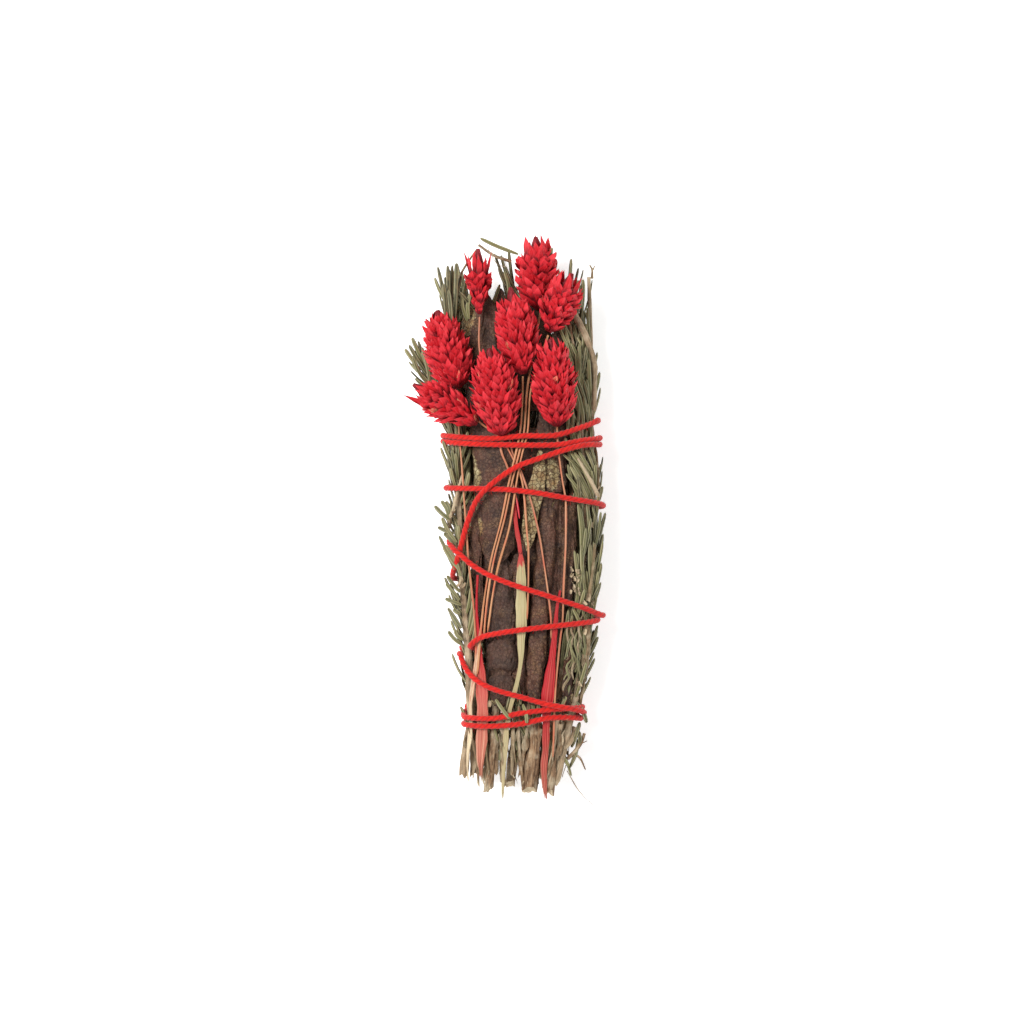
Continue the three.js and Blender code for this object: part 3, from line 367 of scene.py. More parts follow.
def carried_frames(points):
    """Ways along, aside and up at each point of a route, turning no more than the route does."""
    ways = units(np.gradient(points, axis=0))
    up = np.zeros_like(points)
    first = np.cross(ways[0], (0.31, 0.17, 0.93))
    up[0] = unit(first)
    for i in range(1, len(points)):
        up[i] = unit(up[i - 1] - ways[i] * np.dot(up[i - 1], ways[i]))
    aside = np.cross(ways, up)
    return ways, aside, up


def tube_grid(points, radii, sides, ripple=None):
    """Rows of a round tube. Ripple changes the radius by row and angle."""
    _, aside, up = carried_frames(points)
    angles = np.linspace(0, 2 * math.pi, sides + 1)
    radii = np.broadcast_to(radii, len(points))[:, None]
    if ripple is not None:
        radii = radii * ripple(np.arange(len(points))[:, None], angles[None, :])
    c = np.cos(angles)[None, :, None]
    s = np.sin(angles)[None, :, None]
    return points[:, None] + np.broadcast_to(radii, (len(points), sides + 1))[..., None] * (
        aside[:, None] * c + up[:, None] * s
    )


def tube_places(points, radii, sides):
    steps = np.linalg.norm(np.diff(points, axis=0), axis=1)
    v = np.concatenate([[0], np.cumsum(steps)])
    u = np.linspace(0, 1, sides + 1) * 2 * math.pi * float(np.mean(radii))
    return np.stack(np.broadcast_arrays(u[None, :], v[:, None]), -1)


def rough(points, size, amount, seed=0.0):
    """Noise at points, from about -amount to amount."""
    flat = points.reshape(-1, 3) / size + seed
    values = [noise.noise(Vector(p)) for p in flat]
    return amount * np.array(values).reshape(points.shape[:-1])


# Materials

def new_material(name, roughness, sheen=0.0, specular=0.4):
    material = bpy.data.materials.new(name)
    material.use_nodes = True
    surface = material.node_tree.nodes["Principled BSDF"]
    surface.inputs["Roughness"].default_value = roughness
    surface.inputs["Specular IOR Level"].default_value = specular
    surface.inputs["Sheen Weight"].default_value = sheen
    return material


class Paint:
    """Short ways to add nodes to one material."""

    def __init__(self, material):
        self.nodes = material.node_tree.nodes
        self.links = material.node_tree.links
        self.surface = self.nodes["Principled BSDF"]

    def add(self, kind, settings=(), **inputs):
        node = self.nodes.new(kind)
        for label, value in dict(settings).items():
            setattr(node, label, value)
        for label, value in inputs.items():
            self.put(node.inputs[label.replace("_", " ")], value)
        return node

    def put(self, socket, value):
        if isinstance(value, bpy.types.NodeSocket):
            self.links.new(value, socket)
        else:
            socket.default_value = value

    def value_of(self, label):
        return self.add("ShaderNodeAttribute", {"attribute_name": label}).outputs["Fac"]

    def place(self, across=1.0, lengthwise=1.0):
        """The place on a blade or tube in millimetres, stretched."""
        uv = self.add("ShaderNodeUVMap", {"uv_map": "UVMap"}).outputs["UV"]
        return self.add("ShaderNodeMapping", Vector=uv, Scale=(across, lengthwise, 1.0)).outputs["Vector"]

    def whole(self, per_mm):
        """The place in the object, in cells per millimetre."""
        spot = self.add("ShaderNodeTexCoord").outputs["Object"]
        scale = per_mm / MM
        return self.add("ShaderNodeMapping", Vector=spot, Scale=(scale, scale, scale)).outputs["Vector"]

    def noise(self, vector, scale=1.0, detail=4.0, roughness=0.55):
        made = self.add("ShaderNodeTexNoise", Vector=vector, Scale=scale, Detail=detail, Roughness=roughness)
        return made.outputs["Fac"]

    def cracks(self, vector, scale):
        """Distance to the nearest line of a net."""
        settings = {"feature": "DISTANCE_TO_EDGE"}
        return self.add("ShaderNodeTexVoronoi", settings, Vector=vector, Scale=scale).outputs["Distance"]

    def step(self, value, low, high, start=0.0, end=1.0):
        made = self.add("ShaderNodeMapRange", Value=value)
        for label, number in (("From Min", low), ("From Max", high), ("To Min", start), ("To Max", end)):
            made.inputs[label].default_value = number
        return made.outputs["Result"]

    def math(self, operation, first, second):
        made = self.add("ShaderNodeMath", {"operation": operation})
        self.put(made.inputs[0], first)
        self.put(made.inputs[1], second)
        return made.outputs[0]

    def mix(self, share, first, second, blend="MIX"):
        made = self.add("ShaderNodeMix", {"data_type": "RGBA", "blend_type": blend})
        self.put(made.inputs[0], share)
        self.put(made.inputs[6], first)
        self.put(made.inputs[7], second)
        return made.outputs[2]

    def over(self, under, code, value, low, high, start=0.0, end=1.0):
        """A colour laid over another, from a share at a value's low end to a share at its high."""
        return self.mix(self.step(value, low, high, start, end), under, rgb(code))

    def colour(self, value):
        self.put(self.surface.inputs["Base Color"], value)

    def rough(self, value):
        self.put(self.surface.inputs["Roughness"], value)

    def bump(self, height, distance_mm, strength=1.0):
        made = self.add("ShaderNodeBump", Height=height, Distance=distance_mm * MM, Strength=strength)
        self.put(self.surface.inputs["Normal"], made.outputs["Normal"])


def rgb(code):
    """A colour as it looks, six hexadecimal digits, as the light that it reflects."""
    channels = [int(code[i:i + 2], 16) / 255 for i in (0, 2, 4)]
    linear = [c / 12.92 if c <= 0.04045 else ((c + 0.055) / 1.055) ** 2.4 for c in channels]
    return (*linear, 1.0)


def string_material():
    material = new_material("red_cotton", 0.85, sheen=0.15, specular=0.25)
    paint = Paint(material)
    groove = paint.value_of("mask")
    lumps = paint.noise(paint.whole(0.5), detail=3.0)
    fibre = paint.noise(paint.place(7.0, 2.2), detail=3.0)
    red = paint.over(rgb("BD0E0D"), "D41A14", lumps, 0.35, 0.65)
    # Painted shade: the grooves between the plies are darkened
    red = paint.over(red, "7E0808", groove, 0.25, 0.95, 0.0, 0.8)
    paint.colour(paint.over(red, "E04A38", fibre, 0.35, 0.8, 0.0, 0.3))
    paint.bump(fibre, 0.12, 0.6)
    return material


def straw_material():
    material = new_material("straw", 0.42, specular=0.45)
    paint = Paint(material)
    tint = paint.value_of("tint")
    streaks = paint.noise(paint.place(3.0, 0.05), detail=4.0)
    tan = paint.mix(tint, rgb("BC7C4E"), rgb("B06350"))
    tan = paint.over(tan, "CF9D74", streaks, 0.4, 0.7)
    tan = paint.over(tan, "7E4E38", streaks, 0.42, 0.3, 0.0, 0.5)
    blush = paint.noise(paint.place(0.2, 0.09), detail=2.0)
    tan = paint.over(tan, "C4573F", blush, 0.52, 0.7, 0.0, 0.7)
    paint.colour(paint.mix(paint.value_of("mask"), tan, rgb("BC2632")))
    paint.bump(streaks, 0.05, 0.5)
    return material


def sheath_material():
    """Mask 0 is cream-green and 1 is crimson. Tint 1 fades the red to salmon."""
    material = new_material("papery_sheath", 0.5, specular=0.35)
    paint = Paint(material)
    ribs = paint.noise(paint.place(1.9, 0.025), detail=5.0, roughness=0.65)
    veins = paint.noise(paint.place(5.0, 0.05), detail=2.0)
    spread = paint.noise(paint.place(0.8, 0.12), detail=3.0)
    pale = paint.over(rgb("9A8F62"), "CBBF95", ribs, 0.38, 0.62)
    pale = paint.over(pale, "C09A72", spread, 0.5, 0.75, 0.0, 0.5)
    pale = paint.over(pale, "E6CFAE", paint.value_of("tint"), 0.5, 1.0, 0.0, 0.8)
    red = paint.mix(paint.value_of("tint"), rgb("B80F22"), rgb("BC715C"))
    # Painted highlight: the tops of the ribs are lightened where the red has faded
    ridges = paint.step(ribs, 0.48, 0.66)
    faded = paint.step(paint.value_of("tint"), 0, 1, 0.25, 0.9)
    shine = paint.math("MULTIPLY", ridges, faded)
    red = paint.mix(shine, red, rgb("DDA88C"))
    # Painted shade: the furrows between the ribs are darkened
    furrow_shade = paint.mix(paint.value_of("tint"), rgb("8E1220"), rgb("7E4230"))
    red = paint.mix(paint.step(ribs, 0.47, 0.3, 0.0, 0.75), red, furrow_shade)
    edge = paint.math("ADD", paint.value_of("mask"), paint.step(spread, 0.3, 0.7, -0.3, 0.3))
    body = paint.mix(paint.step(edge, 0.4, 0.6), pale, red)
    paint.colour(paint.over(body, "7E4A38", veins, 0.55, 0.75, 0.0, 0.4))
    paint.bump(ribs, 0.25, 0.8)
    return material


def leaf_material():
    """Mask 0 is the dark resinous upper face and 1 the pale felted underside with its net. Tint is
    how grey a leaf's upper face is."""
    material = new_material("dried_leaf", 0.5, specular=0.3)
    paint = Paint(material)
    spot = paint.whole(1.0)
    wide = paint.noise(spot, scale=0.14, detail=5.0)
    patches = paint.noise(spot, scale=0.2, detail=7.0, roughness=0.72)
    fine = paint.noise(spot, scale=1.3, detail=5.0, roughness=0.65)
    streaks = paint.noise(paint.place(1.1, 0.22), detail=4.0)
    bend = paint.noise(spot, scale=0.6, detail=3.0)
    warped = paint.mix(0.5, spot, paint.add("ShaderNodeCombineXYZ", X=bend, Y=bend, Z=bend).outputs[0], "ADD")
    net = paint.cracks(warped, 0.72)
    small_net = paint.cracks(warped, 1.7)
    cell = paint.add("ShaderNodeTexVoronoi", Vector=warped, Scale=0.72).outputs["Color"]
    crumb = paint.add("ShaderNodeTexVoronoi", Vector=warped, Scale=1.7).outputs["Color"]
    wide_lines = paint.step(net, 0.0, 0.12, 0.25, 1.0)
    narrow_lines = paint.step(small_net, 0.0, 0.1, 0.75, 1.0)
    lines = paint.math("MULTIPLY", wide_lines, narrow_lines)

    dark = paint.over(rgb("3A2620"), "6C4435", wide, 0.4, 0.6)
    dark = paint.over(dark, "7A5B4B", cell, 0.3, 0.8, 0.0, 0.3)
    dark = paint.over(dark, "8A6E58", crumb, 0.62, 0.8, 0.0, 0.35)
    dark = paint.over(dark, "24160F", streaks, 0.46, 0.3, 0.0, 0.45)
    dark = paint.over(dark, "7E5C48", fine, 0.5, 0.7, 0.0, 0.45)
    tan = paint.over(rgb("62402A"), "9C7A56", fine, 0.38, 0.64)
    tan = paint.over(tan, "38241A", lines, 0.9, 0.4, 0.0, 0.5)
    dark = paint.mix(paint.step(patches, 0.49, 0.62, 0.0, 0.75), dark, tan)
    dark = paint.over(dark, "3E3531", paint.value_of("tint"), 0.0, 1.0, 0.0, 0.6)
    dark = paint.over(dark, "1C120E", small_net, 0.1, 0.02, 0.0, 0.55)
    dark = paint.over(dark, "1C120E", net, 0.08, 0.02, 0.0, 0.4)

    pale = paint.over(rgb("988760"), "C2B58C", cell, 0.2, 0.8)
    pale = paint.over(pale, "7C6A44", crumb, 0.35, 0.6, 0.5, 0.0)
    pale = paint.over(pale, "8A6238", patches, 0.48, 0.64, 0.0, 0.75)
    pale = paint.over(pale, "463220", lines, 0.95, 0.4, 0.0, 0.9)
    ragged = paint.math("ADD", paint.value_of("mask"), paint.step(fine, 0.3, 0.7, -0.25, 0.25))
    turned = paint.step(ragged, 0.42, 0.58)
    paint.colour(paint.mix(turned, dark, pale))
    paint.rough(paint.step(fine, 0.3, 0.7, 0.42, 0.66))
    height = paint.math("ADD", paint.step(lines, 0.3, 1.0, 0.0, 0.4), fine)
    paint.bump(paint.math("ADD", height, patches), 0.35, 0.8)
    return material


def bract_material():
    """Mask runs from a bract's root to its tip, and tint is the bract's own. The root end is darkened as
    painted shade and the tip lightened as a painted highlight.
    """
    material = new_material("crimson_bract", 0.55, specular=0.22)
    paint = Paint(material)
    tip = paint.value_of("mask")
    tint = paint.value_of("tint")
    veins = paint.noise(paint.place(3.0, 0.5), detail=4.0)
    red = paint.mix(tint, rgb("BC0C18"), rgb("DA303A"))
    # Painted shade at the root, where the bracts overlap
    red = paint.over(red, "50030A", tip, 0.3, 0.6, 0.9, 0.0)
    # Painted highlight at the tip
    red = paint.over(red, "EA5660", tip, 0.8, 1.0, 0.0, 0.2)
    red = paint.over(red, "E2525C", veins, 0.45, 0.7, 0.0, 0.45)
    straw = paint.math("MULTIPLY", paint.step(tint, 0.98, 0.985), paint.step(veins, 0.45, 0.6))
    paint.colour(paint.mix(straw, red, rgb("D9A27A")))
    paint.bump(veins, 0.12, 0.6)
    return material


def needle_material():
    """Mask is how far a place is round towards the needle's pale rolled edge. The colour paints shade in the
    middle groove and on the sides and underside, with lighter bands between that stand for the pale rolled
    edges and a painted highlight.
    """
    material = new_material("rosemary_needle", 0.5, specular=0.35)
    paint = Paint(material)
    tint = paint.value_of("tint")
    mottle = paint.noise(paint.whole(0.35), detail=4.0)
    grain = paint.noise(paint.place(1.5, 0.5), detail=3.0)
    green = paint.over(rgb("3A3522"), "4C4D30", tint, 0.0, 0.14)
    green = paint.over(green, "7B794D", tint, 0.1, 0.75)
    green = paint.over(green, "979068", tint, 0.75, 1.0, 0.0, 0.8)
    green = paint.over(green, "7E6A46", mottle, 0.48, 0.72, 0.0, 0.7)
    green = paint.over(green, "9E966E", grain, 0.5, 0.8, 0.0, 0.4)
    rim = paint.value_of("mask")
    # Painted shade in the middle groove
    green = paint.over(green, "44422A", rim, 0.16, 0.02, 0.0, 0.4)
    # Lighter bands: the pale rolled edges, with a painted highlight
    green = paint.over(green, "B2AA84", rim, 0.16, 0.3, 0.0, 0.55)
    # Painted shade on the sides and underside, which outlines each needle
    paint.colour(paint.over(green, "2E2A1A", rim, 0.4, 0.56, 0.0, 0.85))
    paint.bump(grain, 0.1, 0.5)
    return material


def bark_material():
    """Mask 1 is cut or peeled pale wood."""
    material = new_material("rosemary_bark", 0.8, specular=0.2)
    paint = Paint(material)
    fibre = paint.noise(paint.place(1.6, 0.12), detail=6.0, roughness=0.65)
    patch = paint.noise(paint.whole(0.16), detail=4.0)
    bark = paint.over(rgb("402B1E"), "B3906E", fibre, 0.34, 0.66)
    bark = paint.over(bark, "D4C4A6", patch, 0.48, 0.64, 0.0, 0.7)
    bark = paint.over(bark, "5E4433", patch, 0.42, 0.3, 0.0, 0.5)
    threads = paint.noise(paint.place(4.5, 0.3), detail=4.0, roughness=0.7)
    bark = paint.over(bark, "2E2018", threads, 0.46, 0.36, 0.0, 0.75)
    bark = paint.over(bark, "D6C4A6", threads, 0.56, 0.68, 0.0, 0.6)
    bark = paint.over(bark, "8A7C5C", paint.value_of("tint"), 0.2, 1.0, 0.0, 0.45)
    paint.colour(paint.mix(paint.value_of("mask"), bark, rgb("D0BC9C")))
    paint.bump(paint.math("ADD", fibre, threads), 0.4, 1.0)
    return material


MATERIALS = {
    "string": string_material(),
    "straw": straw_material(),
    "sheath": sheath_material(),
    "leaf": leaf_material(),
    "bract": bract_material(),
    "needle": needle_material(),
    "bark": bark_material(),
}
ROSEMARY = [MATERIALS["needle"], MATERIALS["bark"]]


# String

# Each turn's strand across the front, in the order in which it is wound. A strand lies over the
# strands of lower rank that it crosses. One turn comes up inside the left-hand sprig.
TURNS = [
    {"rank": 1, "across": [(-13.8, -66.8), (-3, -66.6), (5, -64.9), (14, -63.8), (25.4, -63.4)]},
    {"rank": 0, "across": [(-13.8, -69.2), (-6, -69.4), (4, -68.6), (14, -66.6), (25.2, -67.2)]},
    {
        "rank": 2,
        "under": [(-15.2, -44.0, 14.4), (-12.6, -43.8, 16.6), (-10.7, -43.6, 18.6), (-10.6, -43.3, 20.6),
                  (-11.6, -43.0, 23.2)],
        "across": [(-11.9, -42.6), (-10.4, -41.0), (-8, -39.6), (3.3, -37.3), (17, -35.7), (30.4, -34.2)],
    },
    {
        "rank": 6,
        "across": [(-18, -20), (-16.6, -15), (-15.2, -10.2), (-10.7, 3.7), (-4, 11.6), (4, 17.2),
                   (12.3, 20.2), (24, 24), (31.2, 24.6)],
    },
    {"rank": 4, "across": [(-21, 27.6), (-3, 26.4), (5, 27.2), (16, 27.4), (24, 29.8), (30.4, 32.6)]},
    {"rank": 3, "across": [(-21, 25.6), (-3, 24.3), (17, 24.3), (25, 25.7), (31.4, 26.8)]},
    {"rank": 5, "across": [(-20, 10), (-8, 9.7), (2, 9.3), (12.3, 8), (22.6, 6.2), (32.6, 4.1)]},
    {
        "rank": 7,
        "across": [(-18.6, -7.7), (-15.2, -11), (-10, -16.4), (4, -22.7), (17.5, -27), (27.6, -30.6),
                   (31, -32.4)],
    },
    {
        "rank": 8,
        "across": [(-15.2, -46), (-11.6, -52.6), (-6, -56.2), (4.6, -59.4), (12.3, -61.6), (25.2, -65.3)],
    },
]
KNOT = {"y": -64.6, "degrees": 207, "radius": 1.0, "yarn": 0.72, "tail": 8}


def back_strand(from_y, to_y, end_degrees=-180):
    count = 9
    shares = [i / count for i in range(1, count)]
    return [around(from_y + (to_y - from_y) * smooth(share), end_degrees * share) for share in shares]


def string_route():
    points = [around(KNOT["y"], KNOT["degrees"]), around(KNOT["y"] - 0.8, KNOT["degrees"] - 14)]
    ranks = [TURNS[0]["rank"]] * 2
    for i, turn in enumerate(TURNS):
        strand = [np.array(place, float) for place in turn.get("under", [])]
        strand += laid_points(turn["across"], YARN_SPACING)
        last_y = turn["across"][-1][1]
        if i + 1 < len(TURNS):
            strand += back_strand(last_y, TURNS[i + 1]["across"][0][1])
        else:
            strand += back_strand(last_y, KNOT["y"], KNOT["degrees"] - 352)
        points += strand
        ranks += [turn["rank"]] * len(strand)
    return np.array(points), np.array(ranks)


def open_crossings(points, ranks):
    """The route sampled every millimetre, with room made where a strand passes over another."""
    curve = Curve(points)
    count = round(curve.length)
    shares = curve.share_at(np.linspace(0, 1, count + 1))
    samples = curve.raw(shares)
    near = np.minimum(np.round(shares * (len(points) - 1)).astype(int), len(points) - 1)
    rank = ranks[near]
    ways = outward(samples)
    most = np.zeros(count + 1)
    least = np.zeros(count + 1)
    apart = 12
    for i in range(count + 1):
        distance = np.linalg.norm(samples[i + apart:] - samples[i], axis=1)
        for j in i + apart + np.nonzero(distance < STRING_SPACING)[0]:
            need = math.sqrt(STRING_SPACING ** 2 - distance[j - i - apart] ** 2) + 0.1
            over, under = (i, j) if rank[i] > rank[j] else (j, i)
            rise = ways[over][2]
            out = need
            if rise < 0:
                out = min(need / 2, (samples[over][2] - STRING_FLOOR) / -rise)
            most[over] = max(most[over], out)
            least[under] = min(least[under], out - need)
    slope = 0.24
    offsets = np.arange(-apart, apart + 1)
    fall = slope * np.abs(offsets)
    push = np.zeros(count + 1)
    for i in range(count + 1):
        index = np.clip(i + offsets, 0, count)
        push[i] = max(0, (most[index] - fall).max()) + min(0, (least[index] + fall).min())
    return samples + ways * push[:, None]


string_points = open_crossings(*string_route())

PLIES = 3
PLY_TURN = 6.2  # length of string over which a ply goes once round
PLY_GROOVE = 0.24  # depth of the groove between plies over the string's radius
YARN_STEP = 0.5  # length of one row of the yarn's mesh
YARN_SIDES = 15
STRING_FIBRES = 1800
TAIL_RADIUS = STRING_RADIUS * 0.9
KNOT_STEPS = 48


def yarn_grid(shape, points, radius):
    """A twisted string along points."""
    curve = Curve(points)
    count = max(4, math.ceil(curve.length / YARN_STEP))
    line = curve.spaced(count)
    length_step = curve.length / count

    def groove(row, angle):
        turn = 2 * math.pi * row * length_step / PLY_TURN
        return 1 - np.abs(np.cos(PLIES / 2 * (angle - turn))) ** 0.8

    def ripple(row, angle):
        return 1.03 - PLY_GROOVE * groove(row, angle)

    points = tube_grid(line, radius, YARN_SIDES, ripple)
    angles = np.linspace(0, 2 * math.pi, YARN_SIDES + 1)[None, :]
    # The mask is the groove between the plies, where the string's material paints shade
    mask = groove(np.arange(count + 1)[:, None], angles)
    shape.grid(points, tube_places(line, radius, YARN_SIDES), mask=mask)
    return line


def fuzz(shape, line, radius, count, seed):
    """Loose cotton fibres, each a narrow bent strip."""
    draw = Draw(seed)
    ways, aside, up = carried_frames(line)
    for _ in range(count):
        i = int(draw(1, len(line) - 2))
        turn = draw(0, 2 * math.pi)
        out = aside[i] * math.cos(turn) + up[i] * math.sin(turn)
        lean = ways[i] * draw(-1.2, 1.2) + out
        start = line[i] + out * radius * 0.9
        length = draw(0.5, 1.5)
        end = start + unit(lean) * length
        if end[2] < 0.4:
            continue
        middle = (start + end) / 2 + out * 0.2 * length
        half = ways[i] * 0.02
        rows = np.array([[p - half, p + half] for p in (start, middle, end)])
        shape.grid(rows, mask=0.0)


def knot_line():
    """The overhand knot as a line of points."""
    middle = around(KNOT["y"], KNOT["degrees"], -0.4)
    points = []
    for i in range(KNOT_STEPS + 1):
        turn = 2 * 2 * math.pi * i / KNOT_STEPS
        wave = 3 * turn / 2
        ring = KNOT["radius"] * (2 + math.cos(wave)) * 0.5
        spot = (ring * math.cos(turn), ring * math.sin(turn), KNOT["radius"] * math.sin(wave) * 0.5)
        points.append(middle + np.array([spot[2], spot[1], -spot[0]]))
    return middle, np.array(points)


def make_string():
    shape = Shape()
    line = yarn_grid(shape, string_points, STRING_RADIUS)
    fuzz(shape, line, STRING_RADIUS, STRING_FIBRES, seed=301)
    middle, knot = knot_line()
    yarn_grid(shape, knot, KNOT["yarn"])
    for way in (-1, 1):
        tail = np.array([
            middle,
            middle + (0.4, 0.4 * KNOT["tail"] * way, -1.2),
            middle + (1.6, 0.75 * KNOT["tail"] * way, -1.4),
        ])
        yarn_grid(shape, tail, TAIL_RADIUS)
    add_piece("string_yarn", shape, [MATERIALS["string"]], "red_string", "string")
    take(solid_room, string_points, STRING_RADIUS + YARN_ROOM)


# Straw stems

STEMS = [
    {
        "name": "stem_left",
        "free": [(-16.1, 42.0, 26.6), (-15.9, 37, 26.6)],
        "laid": [(-15.7, 29, 2.0), (-14.9, 20, ON_TOP), (-13.9, 6, ON_TOP), (-12.6, -12.7, ON_TOP),
                 (-11.0, -28, ON_TOP), (-10.3, -37, ON_TOP), (-10.0, -43, ON_TOP), (-10.3, -48, ON_TOP)],
        "tint": 0.5,
    },
    {
        "name": "stem_middle_left",
        "free": [(5.6, 47.0, 31.2), (5.4, 38, 31.2)],
        "laid": [(4.6, 28, 1.75), (3.4, 22, ON_TOP), (0.6, 10, ON_TOP), (-1.5, -0.5, ON_TOP),
                 (-5.4, -16, ON_TOP), (-8.0, -34, ON_TOP), (-8.6, -41, ON_TOP), (-9.5, -52, ON_TOP)],
        "tint": 0.1,
    },
    {
        "name": "stem_middle_right",
        "free": [(11.5, 68.6, 19.6), (9.2, 56, 25.0), (7.0, 42, 29.6)],
        "laid": [(5.9, 28, 1.75), (4.5, 22, ON_TOP), (1.6, 10, ON_TOP), (-0.55, -0.5, ON_TOP),
                 (-4.45, -16, ON_TOP), (-6.9, -34, ON_TOP), (-7.3, -40, ON_TOP)],
        "tint": 0.2,
    },
    {
        "name": "stem_pale",
        "free": [(14.0, 60.8, 27.4), (11.0, 52, 28.8), (8.2, 42, 30.0)],
        "laid": [(7.1, 28, 1.75), (5.7, 22.6, ON_TOP), (3.2, 10, ON_TOP), (0.9, -4, ON_TOP),
                 (-3.0, -18, ON_TOP), (-5.6, -34, ON_TOP), (-6.1, -38, ON_TOP)],
        "tint": 0.0,
    },
    {
        "name": "stem_sheathed",
        "free": [(-1.4, 29.3, 31.9)],
        "laid": [(-1.5, 28.4, 1.65), (-1.6, 26, ON_TOP), (-1.7, 22.8, ON_TOP), (0.8, 16, BELOW),
                 (3.2, 7.7, BELOW), (4.5, -0.2, ON_TOP)],
        "tint": 0.7,
        "red_below": 9,
    },
    {
        "name": "stem_crossing_left",
        "free": [(-9.2, 32.2, 31.6), (-7.0, 30.4, 30.6)],
        "laid": [(-4.5, 28.8, 1.9), (-1.6, 26.6, BELOW), (0, 23.7, BELOW), (2.3, 19.7, BELOW),
                 (4.4, 15.7, BELOW), (5.7, 9.7, BELOW), (6.9, -4, ON_TOP), (7.4, -9, ON_TOP),
                 (7.4, -22.7, ON_TOP), (7.0, -33.6, ON_TOP)],
        "tint": 0.35,
    },
    {
        "name": "stem_crossing_right",
        "free": [(-8.8, 66.9, 26.6), (-8.9, 57, 26.4), (-7.0, 46, 26.8), (-2.5, 38, 27.4), (0.2, 31.5, 28.9)],
        "laid": [(1.0, 27, 2.7), (1.3, 23.8, LOWEST), (2.7, 20.5, LOWEST), (4.9, 15.5, LOWEST),
                 (7.0, 9.7, BELOW), (10.7, -4, ON_TOP), (12.3, -13.3, ON_TOP), (13.9, -24.3, ON_TOP),
                 (15.0, -40, ON_TOP)],
        "tint": 0.8,
    },
    {
        "name": "stem_right",
        "free": [(17.0, 30.5, 30.7)],
        "laid": [(17.0, 29.4, 1.5), (17.1, 26.8, ON_TOP), (17.3, 23, ON_TOP), (19.3, 8.7, ON_TOP),
                 (19.8, 6, ON_TOP), (19.8, -9, ON_TOP), (19.2, -21, ON_TOP), (18.8, -34, ON_TOP),
                 (17.3, -47.7, ON_TOP), (16.2, -62.7, ON_TOP), (15.7, -80, ON_TOP)],
        "tint": 0.6,
    },
]

STRAW_RADIUS = 0.34  # dried straw is a little slimmer than the round solid
STRAW_SIDES = 9
REDDENS_OVER = 4  # length over which a straw turns red


def make_stem(stem):
    points = [np.array(place, float) for place in stem["free"]] + laid_points(stem["laid"], BROAD_SPACING)
    curve = Curve(points)
    take(solid_room, curve.spaced(math.ceil(curve.length)), STEM_RADIUS + YARN_ROOM)
    line = curve.spaced(math.ceil(curve.length / 0.8))
    share = np.linspace(0, 1, len(line))
    seed = line[0][0]
    radii = STRAW_RADIUS * (1.0 + 0.12 * np.sin(9 * share + seed) + 0.1 * np.cos(31 * share + seed))
    radii[-3:] *= np.array([0.9, 0.7, 0.35])
    mask = 0.0
    if "red_below" in stem:
        mask = smooth((stem["red_below"] - line[:, 1]) / REDDENS_OVER)[:, None]
    shape = Shape()
    points = tube_grid(line, radii, STRAW_SIDES)
    shape.grid(points, tube_places(line, radii, STRAW_SIDES), tint=stem["tint"], mask=mask)
    add_piece(stem["name"].replace("stem", "straw"), shape, [MATERIALS["straw"]], "straw", stem["name"])


# Sheaths

